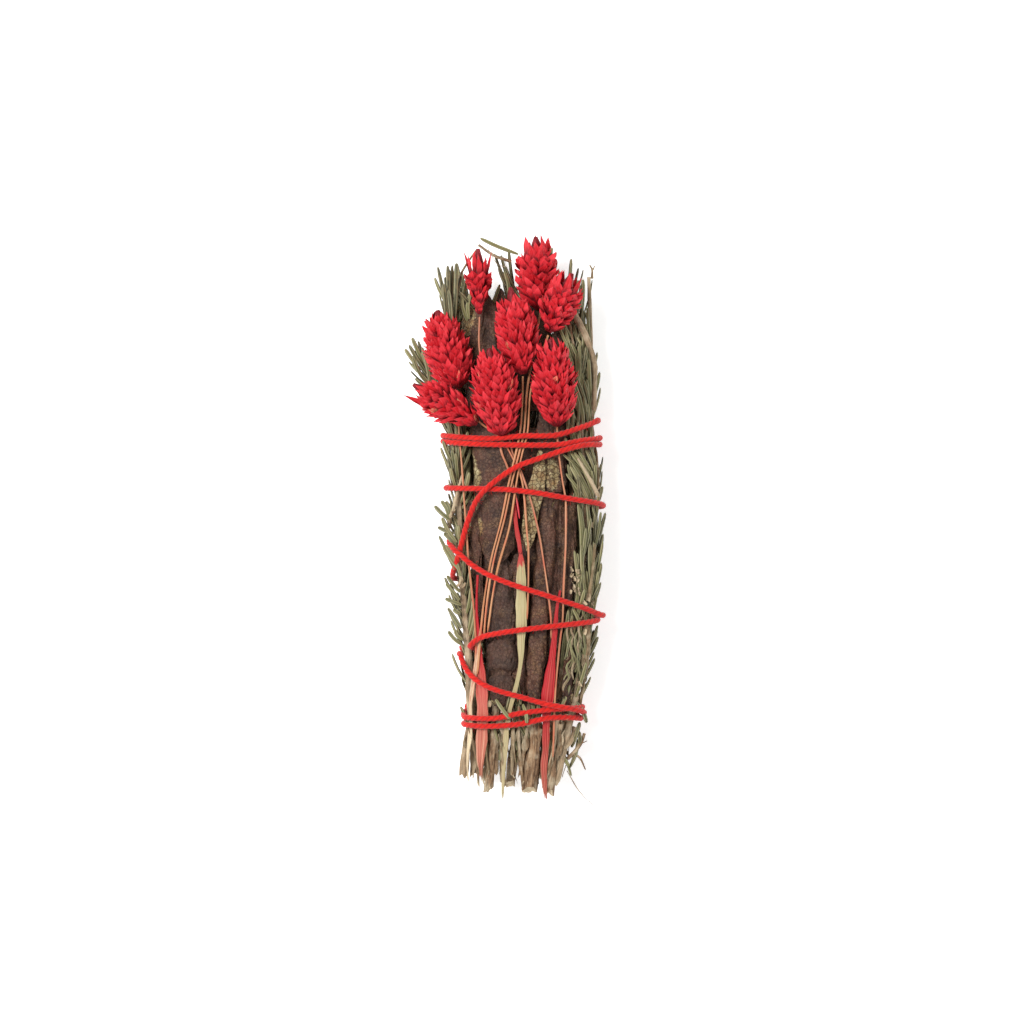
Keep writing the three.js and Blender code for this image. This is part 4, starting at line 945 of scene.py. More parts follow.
# Each is a list of (x, y, width, depth) from its upper end to its torn lower end, and of
# (y, redness) and (y, fading to salmon)
SHEATHS = [
    {
        "name": "sheath_left_red",
        "slot": "red_sheath",
        "places": [(-9.4, -19, 0.8, 2.6), (-9.8, -30, 0.9, 2.4), (-9.6, -38, 1.8, 2.4),
                   (-9.0, -47, 3.6, 2.4), (-8.4, -57, 4.6, 2.4), (-7.9, -66, 5.0, SHEATH_DEPTH),
                   (-8.5, -77, 3.8, SHEATH_DEPTH), (-8.4, -87, 1.2, SHEATH_DEPTH)],
        "red": [(-90, 1), (-19, 1)],
        "salmon": [(-90, 1), (-70, 0.85), (-56, 0.35), (-45, 0.0)],
    },
    {
        "name": "sheath_left_pale",
        "slot": "pale_sheath",
        "places": [(-8.2, -36, 0.6, SHEATH_DEPTH), (-9.4, -44, 1.7, SHEATH_DEPTH),
                   (-10.8, -54, 2.0, SHEATH_DEPTH), (-12.0, -63, 2.5, SHEATH_DEPTH),
                   (-12.3, -74, 2.9, SHEATH_DEPTH), (-12.8, -88.3, 1.3, SHEATH_DEPTH)],
        "red": [(-90, 0.1), (-70, 0.2), (-54, 0.55), (-40, 0.6)],
        "salmon": [(-90, 1), (-50, 1)],
    },
    {
        "name": "sheath_middle_red",
        "slot": "red_sheath",
        "places": [(2.7, 5.0, 0.8, 3.2), (3.2, -1, 1.4, 3.1), (3.9, -6.0, 1.6, 2.9), (4.6, -10.0, 1.4, 2.4),
                   (5.0, -14.0, 1.0, 2.3)],
        "red": [(-90, 1), (19, 1)],
        "salmon": [(-20, 0.1), (10, 0.1)],
    },
    {
        "name": "sheath_middle_pale",
        "slot": "pale_sheath",
        "places": [(4.9, -12.0, 1.0, SHEATH_DEPTH), (5.0, -15.7, 2.4, SHEATH_DEPTH),
                   (5.0, -22, 3.4, SHEATH_DEPTH), (5.0, -29, 3.7, SHEATH_DEPTH),
                   (5.0, -38, 2.9, SHEATH_DEPTH), (4.9, -45, 2.1, SHEATH_DEPTH),
                   (4.7, -50.0, 1.2, SHEATH_DEPTH), (3.4, -55.5, 1.3, SHEATH_DEPTH),
                   (1.9, -61.7, 1.4, SHEATH_DEPTH), (0.6, -67, 1.6, SHEATH_DEPTH),
                   (-0.3, -77, 1.7, SHEATH_DEPTH), (-1.2, -94.2, 0.7, SHEATH_DEPTH)],
        "red": [(-95, 0.12), (-22, 0.0), (-17, 0.35), (-12, 1.0)],
        "salmon": [(-95, 0.62), (-60, 0.55), (-30, 0.2), (-12, 0.2)],
    },
    {
        "name": "sheath_right_red",
        "slot": "red_sheath",
        "places": [(18.0, -24, 0.8, SHEATH_DEPTH), (16.9, -30, 1.0, SHEATH_DEPTH),
                   (15.7, -43, 2.0, SHEATH_DEPTH), (14.6, -53, 3.4, SHEATH_DEPTH),
                   (13.8, -61, 4.1, SHEATH_DEPTH), (13.4, -68, 2.6, SHEATH_DEPTH),
                   (13.2, -77, 1.9, SHEATH_DEPTH), (12.6, -85, 2.5, SHEATH_DEPTH),
                   (13.3, -94.3, 0.8, SHEATH_DEPTH)],
        "red": [(-96, 1), (-20, 1)],
        "salmon": [(-96, 0.7), (-80, 0.4), (-65, 0.0), (-20, 0.0)],
    },
]

SHEATH_FRAY = 5.0  # how much shorter some of a torn end's fibres are
FRAY_OVER = 9  # length of a sheath that its torn end takes up
SHEATH_COLUMNS = 18


def make_sheath(sheath):
    places = sheath["places"]
    curve = Curve(laid_points([(x, y, depth) for x, y, _, depth in places], BROAD_SPACING))
    rows = math.ceil(curve.length / 0.9)
    shares = np.linspace(0, 1, rows + 1)
    line = curve.at(shares)
    ways = curve.tangents(shares)
    rises = outward(line)
    wides = units(np.cross(ways, rises))
    widths = along([(-y, width) for _, y, width, _ in places], -line[:, 1])
    across = np.linspace(-1, 1, SHEATH_COLUMNS + 1)
    ribs = 0.12 * np.cos(across * 12) + 0.06 * np.cos(across * 27 + 1)
    draw = Draw(int(40 + 10 * abs(places[0][0])))
    frayed = np.array([draw(0, 1) ** 2 for _ in across]) * SHEATH_FRAY
    near_end = np.clip(1 - (1 - shares) * curve.length / FRAY_OVER, 0, 1)
    wobble = 1 + 0.1 * np.sin(line[:, 1] * 0.31) + 0.06 * np.sin(line[:, 1] * 0.83)
    reached = across[None, :] * (widths * wobble)[:, None]
    drape = reached ** 2 / (4 * SHEATH_DRAPE) + SHEATH_FOLD * np.abs(reached)
    ribbed = ribs[None, :] * np.minimum(1, widths[:, None] / 2)
    torn = ways[:, None] * (near_end[:, None] * frayed[None, :])[..., None]
    layers = []
    for side in (0, 1):
        lift = (0.5 - side) * SHEATH_THICKNESS * 0.5 + ribbed - drape
        layers.append(
            line[:, None] + wides[:, None] * reached[..., None] / 2 + rises[:, None] * lift[..., None] - torn
        )
    red = along(sorted(sheath["red"]), line[:, 1])[:, None]
    salmon = along(sorted(sheath["salmon"]), line[:, 1])[:, None]
    shape = Shape()
    shape.grid(layers[0], tint=salmon, mask=red)
    shape.grid(layers[1][:, ::-1], tint=salmon, mask=red)
    for column in (0, -1):
        edge = np.stack([layers[0][:, column], layers[1][:, column]], 1)
        shape.grid(edge if column == -1 else edge[:, ::-1], tint=salmon, mask=red)
    take(solid_room, layers[0][:, ::4].reshape(-1, 3), SHEATH_ROOM)
    add_piece(sheath["name"].replace("sheath", "blade"), shape, [MATERIALS["sheath"]],
              sheath["slot"], sheath["name"])


# Yerba santa leaves

# Each is a list of (x, y, depth below the stems) of its crown from tip to stalk, of (share,
# radius that it is rolled to), and how many degrees round it goes to each side. Its pale places
# are (x, y, half-width, half-length) where its felted underside shows. Its creases are (y, width,
# depth), and grey is how grey its upper face is.
LEAVES = [
    {
        "name": "yerba_santa_upper_left",
        "grey": 0.4,
        "crown": [(-7.5, 75, 0.2), (-8, 60, 0.1), (-7.3, 40, 0.2), (-5.2, 24, 0.3), (-4.4, 6, 0.1),
                  (-4.0, -15, 0.1)],
        "roll": [(0, 3.2), (0.1, 7.2), (0.3, 8.6), (0.85, 8.6), (1, 5.0)],
        "sweep": 74,
        "pale": [(-13.4, 22, 2.2, 4.4), (-12.0, 17.4, 2.2, 4.0), (-10.2, 13.4, 1.9, 3.4),
                 (-10.6, 5, 1.5, 2.6), (-9.4, -3, 1.6, 3.2), (-10.4, -10, 1.6, 2.4)],
    },
    {
        "name": "yerba_santa_lower_left",
        "grey": 0.8,
        "crown": [(-3.2, -11, 2.9), (-2.8, -17, 1.9), (-2.4, -27, 0.2), (-2.0, -46, 0), (-2.2, -63, 0.4)],
        "roll": [(0, 4.0), (0.15, 5.6), (0.7, 6.0), (1, 4.6)],
        "sweep": 68,
        "creases": [(-40.6, 0.8, 1.2), (-51.6, 1.0, 1.9)],
        "pale": [(-5.4, -61.6, 2.4, 0.8)],
    },
    {
        "name": "yerba_santa_strip",
        "slot": "pale_leaf",
        "crown": [(11.5, 22.4, 0), (10.8, 14, 0.1), (10.0, 8, 0.7), (9.1, 5, 0.8), (7.9, -3, 0.3),
                  (7.2, -11, 0.1)],
        "roll": [(0, 3.4), (0.4, 6.2), (0.8, 5.8), (1, 3.4)],
        "sweep": 27,
        "pale": [(9, 6, 20, 40)],
    },
    {
        "name": "yerba_santa_upper_right",
        "crown": [(18.0, 62, 1.4), (16.9, 45, 1.5), (16.4, 28, 1.5), (16.6, 18, 1.6), (16.8, 8.6, 1.3)],
        "roll": [(0, 4.0), (0.2, 7.0), (0.7, 7.6), (1, 5.6)],
        "sweep": 50,
        "pale": [(15.2, 14.5, 2.6, 5.0)],
    },
    {
        "name": "yerba_santa_rolled_middle",
        "grey": 0.1,
        "crown": [(14.5, 3.4, 0.2), (13.6, -12, 0), (11.7, -30, 0), (10.4, -47, 0), (9.6, -62.5, 0.4)],
        "roll": [(0, 2.6), (0.12, 3.5), (0.8, 3.7), (1, 2.8)],
        "sweep": 138,
        "pale": [],
    },
    {
        "name": "yerba_santa_rolled_right",
        "crown": [(22.3, 5.6, 0.3), (22.1, -10, 0.1), (20.6, -29.4, 0.3)],
        "roll": [(0, 2.4), (0.2, 3.5), (0.8, 3.4), (1, 2.2)],
        "sweep": 132,
        "pale": [],
    },
    {
        "name": "yerba_santa_lower_right",
        "grey": 0.1,
        "crown": [(21.3, -43, 0.6), (21.8, -53, 0.3), (20.9, -62.5, 0.5)],
        "roll": [(0, 2.4), (0.4, 4.2), (1, 3.4)],
        "sweep": 46,
        "pale": [],
    },
    {
        "name": "yerba_santa_inner",
        "crown": [(-2.4, 77, 3.2), (-1.6, 60, 4.0), (0.6, 36, 5.4), (2.2, 10, 6.2), (3.0, -14, 6.4),
                  (3.0, -40, 6.2)],
        "roll": [(0, 2.6), (0.12, 5.0), (0.8, 5.4), (1, 3.6)],
        "sweep": 56,
        "pale": [(-1.6, 66, 3.0, 6.0)],
    },
]

# Torn and broken leaves lower down in the bundle, which fill the places between the others
LEAF_SCRAPS = [
    {"crown": [(15.4, 14, 2.4), (14.5, 4, 2.6), (14, -9, 2.4)], "roll": [(0, 5), (1, 4.5)], "sweep": 58,
     "pale": [(16.5, 2, 1.6, 3.5)]},
    {"crown": [(4.6, -12, 2.6), (4.2, -35, 2.6), (4.0, -61, 2.8)], "roll": [(0, 4.5), (1, 4.5)],
     "sweep": 52, "pale": []},
    {"crown": [(18.2, 6, 2.4), (17.5, -15, 2.4), (16.5, -44, 2.6)], "roll": [(0, 4), (1, 4.4)],
     "sweep": 54, "pale": [(19.6, -14, 1.4, 3.4)]},
    {"crown": [(-11.6, 6, 2.8), (-10.8, -15, 3.0), (-9.5, -42, 3.4)], "roll": [(0, 4.6), (1, 4.2)],
     "sweep": 46, "pale": [(-11.5, -9, 1.8, 3.0)]},
    {"crown": [(22.5, -50, 1.6), (21.5, -64, 1.2)], "roll": [(0, 4), (1, 4)], "sweep": 44, "pale": []},
    {"crown": [(9.5, 75, 4.0), (9.0, 55, 4.0), (8, 36, 4.4)], "roll": [(0, 8), (1, 8)], "sweep": 60,
     "pale": []},
    {"crown": [(19.5, 68, 3.4), (20.5, 50, 3.2), (20.0, 34, 3.0)], "roll": [(0, 5), (1, 5.5)], "sweep": 56,
     "pale": [(23, 55, 1.6, 5)]},
    {"crown": [(-11.8, 74, -0.6), (-11.9, 62, -0.8), (-11.0, 42, 0.8)], "roll": [(0, 5), (1, 5.5)],
     "sweep": 66, "pale": [(-14.4, 65, 2.6, 6.0), (-12.4, 68, 2.2, 4.0)]},
    {"crown": [(20.5, -52, 0.2), (21.5, -58, -0.2), (22.6, -64, 0.4)], "roll": [(0, 3), (1, 3.6)],
     "sweep": 60, "pale": [(23, -61, 1.6, 3.0)]},
    {"crown": [(-13.0, 6, 1.4), (-12.6, 0, 1.0), (-12.0, -9, 1.0), (-11.0, -17, 1.8)],
     "roll": [(0, 3), (0.3, 4), (1, 3)], "sweep": 70, "pale": [(-13, -3, 1.2, 4.0)]},
    {"crown": [(12, 60, 7.0), (12, 40, 6.4)], "roll": [(0, 6), (1, 6)], "sweep": 50, "pale": []},
    {"crown": [(11.5, 30, 6.0), (11.5, -5, 6.4), (11.0, -35, 6.4), (11.0, -66, 5.4)],
     "roll": [(0, 8), (1, 7)], "sweep": 66, "pale": []},
    {"crown": [(19.5, 28, 6.0), (19.5, -5, 6.4), (18.5, -35, 6.4), (17.5, -66, 5.4)],
     "roll": [(0, 6), (1, 6)], "sweep": 66, "pale": []},
    {"crown": [(-9.5, 26, 6.0), (-9.5, -5, 6.4), (-7.5, -35, 6.4), (-6.0, -66, 5.4)],
     "roll": [(0, 7), (1, 6)], "sweep": 66, "pale": []},
]

LEAF_ROWS_PER_MM = 1.35
LEAF_COLUMNS = 36
LEAF_FLATNESS = 0.62  # how far a rolled leaf is pressed flat: 1 is a round tube
FOLD_SLANT = 0.35
LEAF_EDGE = 0.45  # thickness at the edge, where the solid's is LEAF_THICKNESS
LEAF_TAPER = 5  # how far from its ends a leaf narrows
LEAF_BLUNT = 0.6
RIB_DEPTH = 0.3  # how far the middle rib is sunk, and its half-width
RIB_WIDTH = 0.5


def pale_mask(leaf, points, under):
    """1 where the pale underside shows."""
    mask = np.full(points.shape[:2], float(under))
    for x, y, half_x, half_y in leaf["pale"]:
        far = np.hypot((points[..., 0] - x) / half_x, (points[..., 1] - y) / half_y)
        mask = np.maximum(mask, np.clip(1.5 - far, 0, 1))
    return mask


def leaf_relief(across_mm, length_mm, seed):
    """How far a leaf's surface is sunk by folds that run slantwise along it, and by rumples."""
    slant = FOLD_SLANT * math.sin(5 * seed)
    flat = np.stack(np.broadcast_arrays(across_mm + slant * length_mm, length_mm, seed * 3.7), -1)
    broad = np.abs(rough(flat * (0.16, 0.07, 1), 1, 1.2, seed))
    folds = np.abs(rough(flat * (0.4, 0.12, 1), 1, 0.9, seed + 2))
    rumples = np.abs(rough(flat * (0.6, 0.5, 1), 1, 0.75, seed + 5))
    grain = rough(flat * (1.3, 1.2, 1), 1, 0.16, seed + 9)
    return broad + folds + rumples + grain


def leaf_grid(shape, leaf, seed):
    crown = [(x, y, UNDER_STEMS + extra) for x, y, extra in leaf["crown"]]
    curve = Curve(laid_points(crown, BROAD_SPACING))
    rows = math.ceil(curve.length * LEAF_ROWS_PER_MM)
    shares = np.linspace(0, 1, rows + 1)
    middle = curve.at(shares)
    ways = curve.tangents(shares)
    wides = units(np.cross(ways, outward(middle)))
    rises = np.cross(wides, ways)
    radius = along(leaf["roll"], shares)[:, None]
    across = np.linspace(-1, 1, LEAF_COLUMNS + 1)[None, :]
    lengthwise = shares[:, None] * curve.length
    from_end = np.minimum(shares * curve.length + LEAF_BLUNT, (1 - shares) * curve.length + LEAF_BLUNT)
    ends = np.minimum(1, from_end / LEAF_TAPER)
    ragged = [rough(np.stack([shares * curve.length, shares * 0, shares * 0 + side], -1), 3.1, 0.16, seed)
              for side in (0.0, 7.0)]
    edge = np.where(across < 0, 1 + ragged[0][:, None], 1 + ragged[1][:, None]) * np.sqrt(ends)[:, None]
    turn = math.radians(leaf["sweep"]) * across * edge
    wrinkle = leaf_relief(turn * radius, lengthwise, seed)
    for y, width, depth in leaf.get("creases", []):
        bent = middle[:, 1:2] - y + 0.9 * (turn * radius / radius.max()) ** 2
        wrinkle = wrinkle + depth * np.exp(-(bent / width) ** 2)
    rib = RIB_DEPTH * np.exp(-(turn * radius / RIB_WIDTH) ** 2)
    rise_share = np.sign(np.cos(turn)) * np.abs(np.cos(turn)) ** LEAF_FLATNESS
    wide_share = np.sign(turn) * np.abs(np.sin(turn)) ** 0.9
    layers = []
    for side in (0, 1):
        thickness = side * LEAF_EDGE * ends[:, None]
        arm = radius - thickness - wrinkle - rib
        layers.append(
            middle[:, None]
            + rises[:, None] * (arm * rise_share - radius)[..., None]
            + wides[:, None] * (arm * wide_share)[..., None]
        )
    points = np.concatenate([layers[0], layers[1][:, ::-1], layers[0][:, :1]], axis=1)
    masks = [pale_mask(leaf, layers[0], False), pale_mask(leaf, layers[1], True)]
    mask = np.concatenate([masks[0], masks[1][:, ::-1], masks[0][:, :1]], axis=1)
    shape.grid(points, mask=mask, tint=leaf.get("grey", 0.35))
    take(solid_room, layers[0][::2, ::2].reshape(-1, 3), LEAF_ROOM)


def make_leaf(leaf, seed):
    shape = Shape()
    leaf_grid(shape, leaf, seed)
    add_piece(leaf["name"].replace("yerba_santa", "leaf"), shape, [MATERIALS["leaf"]],
              leaf.get("slot", "dried_leaf"), leaf["name"])


def make_leaf_scraps():
    shape = Shape()
    for number, scrap in enumerate(LEAF_SCRAPS):
        leaf_grid(shape, scrap, 20.4 + number)
    add_piece("leaf_scraps", shape, [MATERIALS["leaf"]], "dried_leaf")


def under_leaf_low(x, y, low_string):
    """Height of the under leaf's lower face."""
    leaf = UNDER_LEAF
    distance = np.hypot(low_string[:, 0] - x, low_string[:, 1] - y)
    bow = smooth((leaf["bow_reach"] - distance) / (leaf["bow_reach"] - leaf["bow_full"]))
    return max(0.0, ((low_string[:, 2] + leaf["over_string"]) * bow).max())


def make_under_leaf():
    leaf = UNDER_LEAF
    low_string = string_points[string_points[:, 2] < STRING_FLOOR + 4]
    rows = 108
    columns = 26
    lower = np.zeros((rows + 1, columns + 1, 3))
    for i in range(rows + 1):
        share = i / rows
        y = leaf["tip_y"] + (leaf["stalk_y"] - leaf["tip_y"]) * share
        wide = math.sin(math.pi * (0.06 + 0.89 * share)) ** leaf["bluntness"]
        wide *= math.sqrt(min(1, 0.02 + share / 0.06) * min(1, 0.02 + (1 - share) / 0.04))
        half_width = leaf["half_width"] * wide * (1 + 0.03 * math.sin(y * 0.9) + 0.02 * math.sin(y * 2.3))
        for j in range(columns + 1):
            across = 2 * j / columns - 1
            x = leaf["middle_x"] - across * half_width
            curl = 0.62 + 0.38 * math.sin(y * 0.41 + 2.2 * math.sin(y * 0.13) + 1.7 * across)
            raised = max(0, abs(across) - leaf["flat_share"]) ** 2
            lift = leaf["edge_lift"] * leaf["half_width"] * raised * curl
            lower[i, j] = (x, y, under_leaf_low(x, y, low_string) + lift)
    wrinkle = np.abs(rough(lower, 2.2, 0.35, 3.0))
    lower[..., 2] += wrinkle * 0.7
    upper = lower + np.array([0, 0, 1.0]) * (LEAF_THICKNESS - wrinkle * 0.5)[..., None]
    points = np.concatenate([upper, lower[:, ::-1], upper[:, :1]], axis=1)
    top = np.zeros((rows + 1, columns + 1))
    mask = np.concatenate([top, np.full((rows + 1, columns + 1), 0.35), top[:, :1]], axis=1)
    shape = Shape()
    shape.grid(points, mask=mask)
    take(solid_room, upper[::2, ::2].reshape(-1, 3), LEAF_ROOM)
    add_piece("leaf_under", shape, [MATERIALS["leaf"]], "dried_leaf", "yerba_santa_under")


# Canary-grass heads

# Bracts stand in rings up to a share of the length, and those of the crown open from a share on
# until they reach the crown's radius, which is given as a share of the head's. Round is how many
# bracts a ring has at its widest, tips is how many the crown has, and slim makes those narrower.
HEADS = [
    {"name": "head_small", "foot": (-8.8, 68.3, 27.0), "tip": (-9.3, 90.2, 28.5), "radius": 4.7, "seed": 11,
     "rings": 8, "round": 7, "waist": 1.3, "ends": 0.85, "ringed": 0.62, "open": 0.42, "crown": 1.1,
     "tips": 9, "slim": 0.62},
    {"name": "head_top", "foot": (11.4, 70.2, 18.5), "tip": (9.9, 94.9, 19.5), "radius": 7.7, "seed": 12,
     "rings": 13, "round": 10, "waist": 0.78, "ends": 0.66, "ringed": 0.76, "open": 0.52, "crown": 0.75,
     "tips": 12},
    {"name": "head_right", "foot": (14.3, 62.3, 28.2), "tip": (22.2, 81.8, 30.0), "radius": 6.6, "seed": 13,
     "rings": 12, "round": 9, "waist": 0.95, "ends": 0.8, "ringed": 0.74, "open": 0.45, "crown": 1.0,
     "tips": 11},
    {"name": "head_centre", "foot": (5.7, 48.3, 31.0), "tip": (1.3, 77.3, 32.5), "radius": 7.3, "seed": 14,
     "rings": 19, "round": 11, "waist": 0.85, "ends": 0.72, "ringed": 0.84, "open": 0.58, "crown": 0.6,
     "tips": 11},
    {"name": "head_left", "foot": (-16.2, 43.4, 26.8), "tip": (-23.1, 70.0, 25.5), "radius": 8.0, "seed": 15,
     "rings": 21, "round": 13, "waist": 0.75, "ends": 0.6, "ringed": 0.92, "open": 0.66, "crown": 0.34,
     "tips": 8},
    {"name": "head_low_left", "foot": (-9.8, 31.6, 33.2), "tip": (-31.4, 44.6, 34.5), "radius": 6.6,
     "seed": 16, "rings": 14, "round": 11, "waist": 1.0, "ends": 0.85, "ringed": 0.8, "open": 0.45,
     "crown": 0.75, "tips": 13},
    {"name": "head_front", "foot": (-1.3, 27.9, 34.2), "tip": (-5.7, 56.8, 38.2), "radius": 8.1, "seed": 17,
     "rings": 23, "round": 13, "waist": 0.82, "ends": 0.66, "ringed": 0.93, "open": 0.66, "crown": 0.34,
     "tips": 8},
    {"name": "head_low_right", "foot": (17.0, 31.0, 31.4), "tip": (14.6, 60.0, 36.8), "radius": 7.7,
     "seed": 18, "rings": 21, "round": 13, "waist": 0.77, "ends": 0.62, "ringed": 0.9, "open": 0.62,
     "crown": 0.4, "tips": 9},
]

BRACT_LENGTH = 0.2  # a bract's length over the head's
BRACT_COVER = 0.78  # its half-width over the distance between neighbours in its ring
BRACT_SHARES = np.linspace(0, 1, 7)
FIRST_RING = 0.12  # share of a head's length that its lowest ring reaches
BRACT_CRUMPLE = 0.42
HEAD_CORE = 0.45  # the core's radius over the bracts' radius
HEAD_STALK = 0.6
HEAD_STEPS = 12  # rows of the core and of the room that a head takes


def head_width(share, head):
    """A head's outline. A greater waist puts its widest place nearer its tip, and greater ends
    make it more pointed at both."""
    share = np.clip(share, 0, 1)
    return np.sin(math.pi * share ** head["waist"]) ** head["ends"]


def bract(shape, line, wide, out, half_width, keel_height, tint):
    """A boat-shaped bract with a sharp keel, as two halves that meet along it."""
    t = np.linspace(0, 1, len(line))
    profile = np.where(t < 0.6, (0.5 + 0.5 * (t / 0.6)), np.clip((1 - t) / 0.4, 0, 1) ** 0.95)
    half = (half_width * profile)[:, None]
    keel = line + out * half * keel_height
    for way in (-1, 1):
        edge = line + wide * half * way - out * half * 0.4
        between = (keel + edge) / 2 - out * half * 0.1
        columns = np.stack([edge, between, keel] if way < 0 else [keel, between, edge], 1)
        crumple = rough(columns, 0.9, BRACT_CRUMPLE, 7 * tint)[..., None]
        shape.grid(columns + out * crumple + wide * crumple * 0.7, tint=tint, mask=t[:, None])


def head_frame(head):
    """A head's foot, its axis, and the ways along it, aside and up."""
    foot = np.array(head["foot"])
    axis = np.array(head["tip"]) - foot
    side = unit(np.cross(axis, (0, 0, 1)))
    rise = unit(np.cross(side, axis))
    return foot, axis, axis / np.linalg.norm(axis), side, rise


def bract_spacing(head):
    return 2 * math.pi * head["radius"] / head["round"]


def head_rings(shape, head, draw):
    """The bracts that stand in rings from a head's foot up."""
    foot, axis, way, side, rise = head_frame(head)
    radius = head["radius"]
    t = BRACT_SHARES
    rings = head["rings"]
    for k in range(rings):
        top = FIRST_RING + (head["ringed"] - FIRST_RING) * (k / (rings - 1)) ** 0.95
        width_here = float(head_width(0.93 * top, head))
        around_here = max(4, round(head["round"] * (0.45 + 0.55 * width_here)))
        for i in range(around_here):
            turn = 2 * math.pi * (i + k * 0.5 + draw(-0.22, 0.22)) / around_here
            out = side * math.cos(turn) + rise * math.sin(turn)
            reach_tip = top + draw(-0.03, 0.04)
            start = max(-0.02, reach_tip - BRACT_LENGTH * draw(0.75, 1.25))
            outer = radius * (0.86 + 0.24 * draw()) * max(width_here, 0.22)
            inner = HEAD_CORE * radius * max(float(head_width(start, head)), 0.12) * 0.9
            along_axis = start + (reach_tip - start) * t
            rounding = t ** draw(0.75, 1.15)
            bulge = inner + (outer - inner) * rounding + radius * draw(-0.08, 0.08) * t ** 3
            skew = unit(np.cross(out, way)) * draw(-0.5, 0.5) * t[:, None] ** 2
            line = foot + axis * along_axis[:, None] + out * bulge[:, None] + skew
            half_width = BRACT_COVER * bract_spacing(head) * draw(0.45, 0.68) * (0.55 + 0.45 * width_here)
            wide = unit(np.cross(out, way))
            tilt = unit(out + wide * draw(-0.95, 0.95))
            wide = unit(np.cross(tilt, way))
            bract(shape, line, wide, tilt, half_width, draw(0.1, 1.0), draw())


def head_crown(shape, head, draw):
    """The looser bracts that open towards a head's tip."""
    foot, axis, way, side, rise = head_frame(head)
    radius = head["radius"]
    t = BRACT_SHARES
    for i in range(head["tips"]):
        turn = 2 * math.pi * (i + draw(-0.25, 0.25)) / head["tips"]
        out = side * math.cos(turn) + rise * math.sin(turn)
        wide = unit(np.cross(out, way))
        start = head["open"] + draw(0, 0.12)
        end = draw(0.82, 1.01)
        inner = radius * 0.6 * float(head_width(start, head))
        outer = radius * head["crown"] * draw(0.3, 1.0)
        line = foot + axis * (start + (end - start) * t)[:, None]
        line = line + out * (inner + (outer - inner) * t ** 1.4)[:, None]
        tilt = unit(out + wide * draw(-0.8, 0.8))
        half_width = bract_spacing(head) * head.get("slim", 1.0) * draw(0.3, 0.42)
        bract(shape, line, unit(np.cross(tilt, way)), tilt, half_width, 0.5, draw(0, 0.95))


def make_head(head):
    draw = Draw(head["seed"])
    foot, axis = head_frame(head)[:2]
    radius = head["radius"]
    shape = Shape()
    shares = np.linspace(0, 0.97, HEAD_STEPS)
    radii = np.maximum(HEAD_STALK, HEAD_CORE * radius * head_width(shares, head))
    core = foot + axis * shares[:, None]
    # The core has mask 0, so it takes the darkest painted shade of the bracts' roots
    shape.grid(tube_grid(core, radii, 12), tint=0.1, mask=0.0)
    head_rings(shape, head, draw)
    head_crown(shape, head, draw)
    for share in np.linspace(0, 1, HEAD_STEPS):
        ball = max(HEAD_STALK, radius * float(head_width(share, head)) * 0.92)
        take(solid_room, foot + axis * share, ball)
    add_piece(head["name"].replace("head", "bracts"), shape, [MATERIALS["bract"]], "crimson_bract",
              head["name"])


# Rosemary sprigs

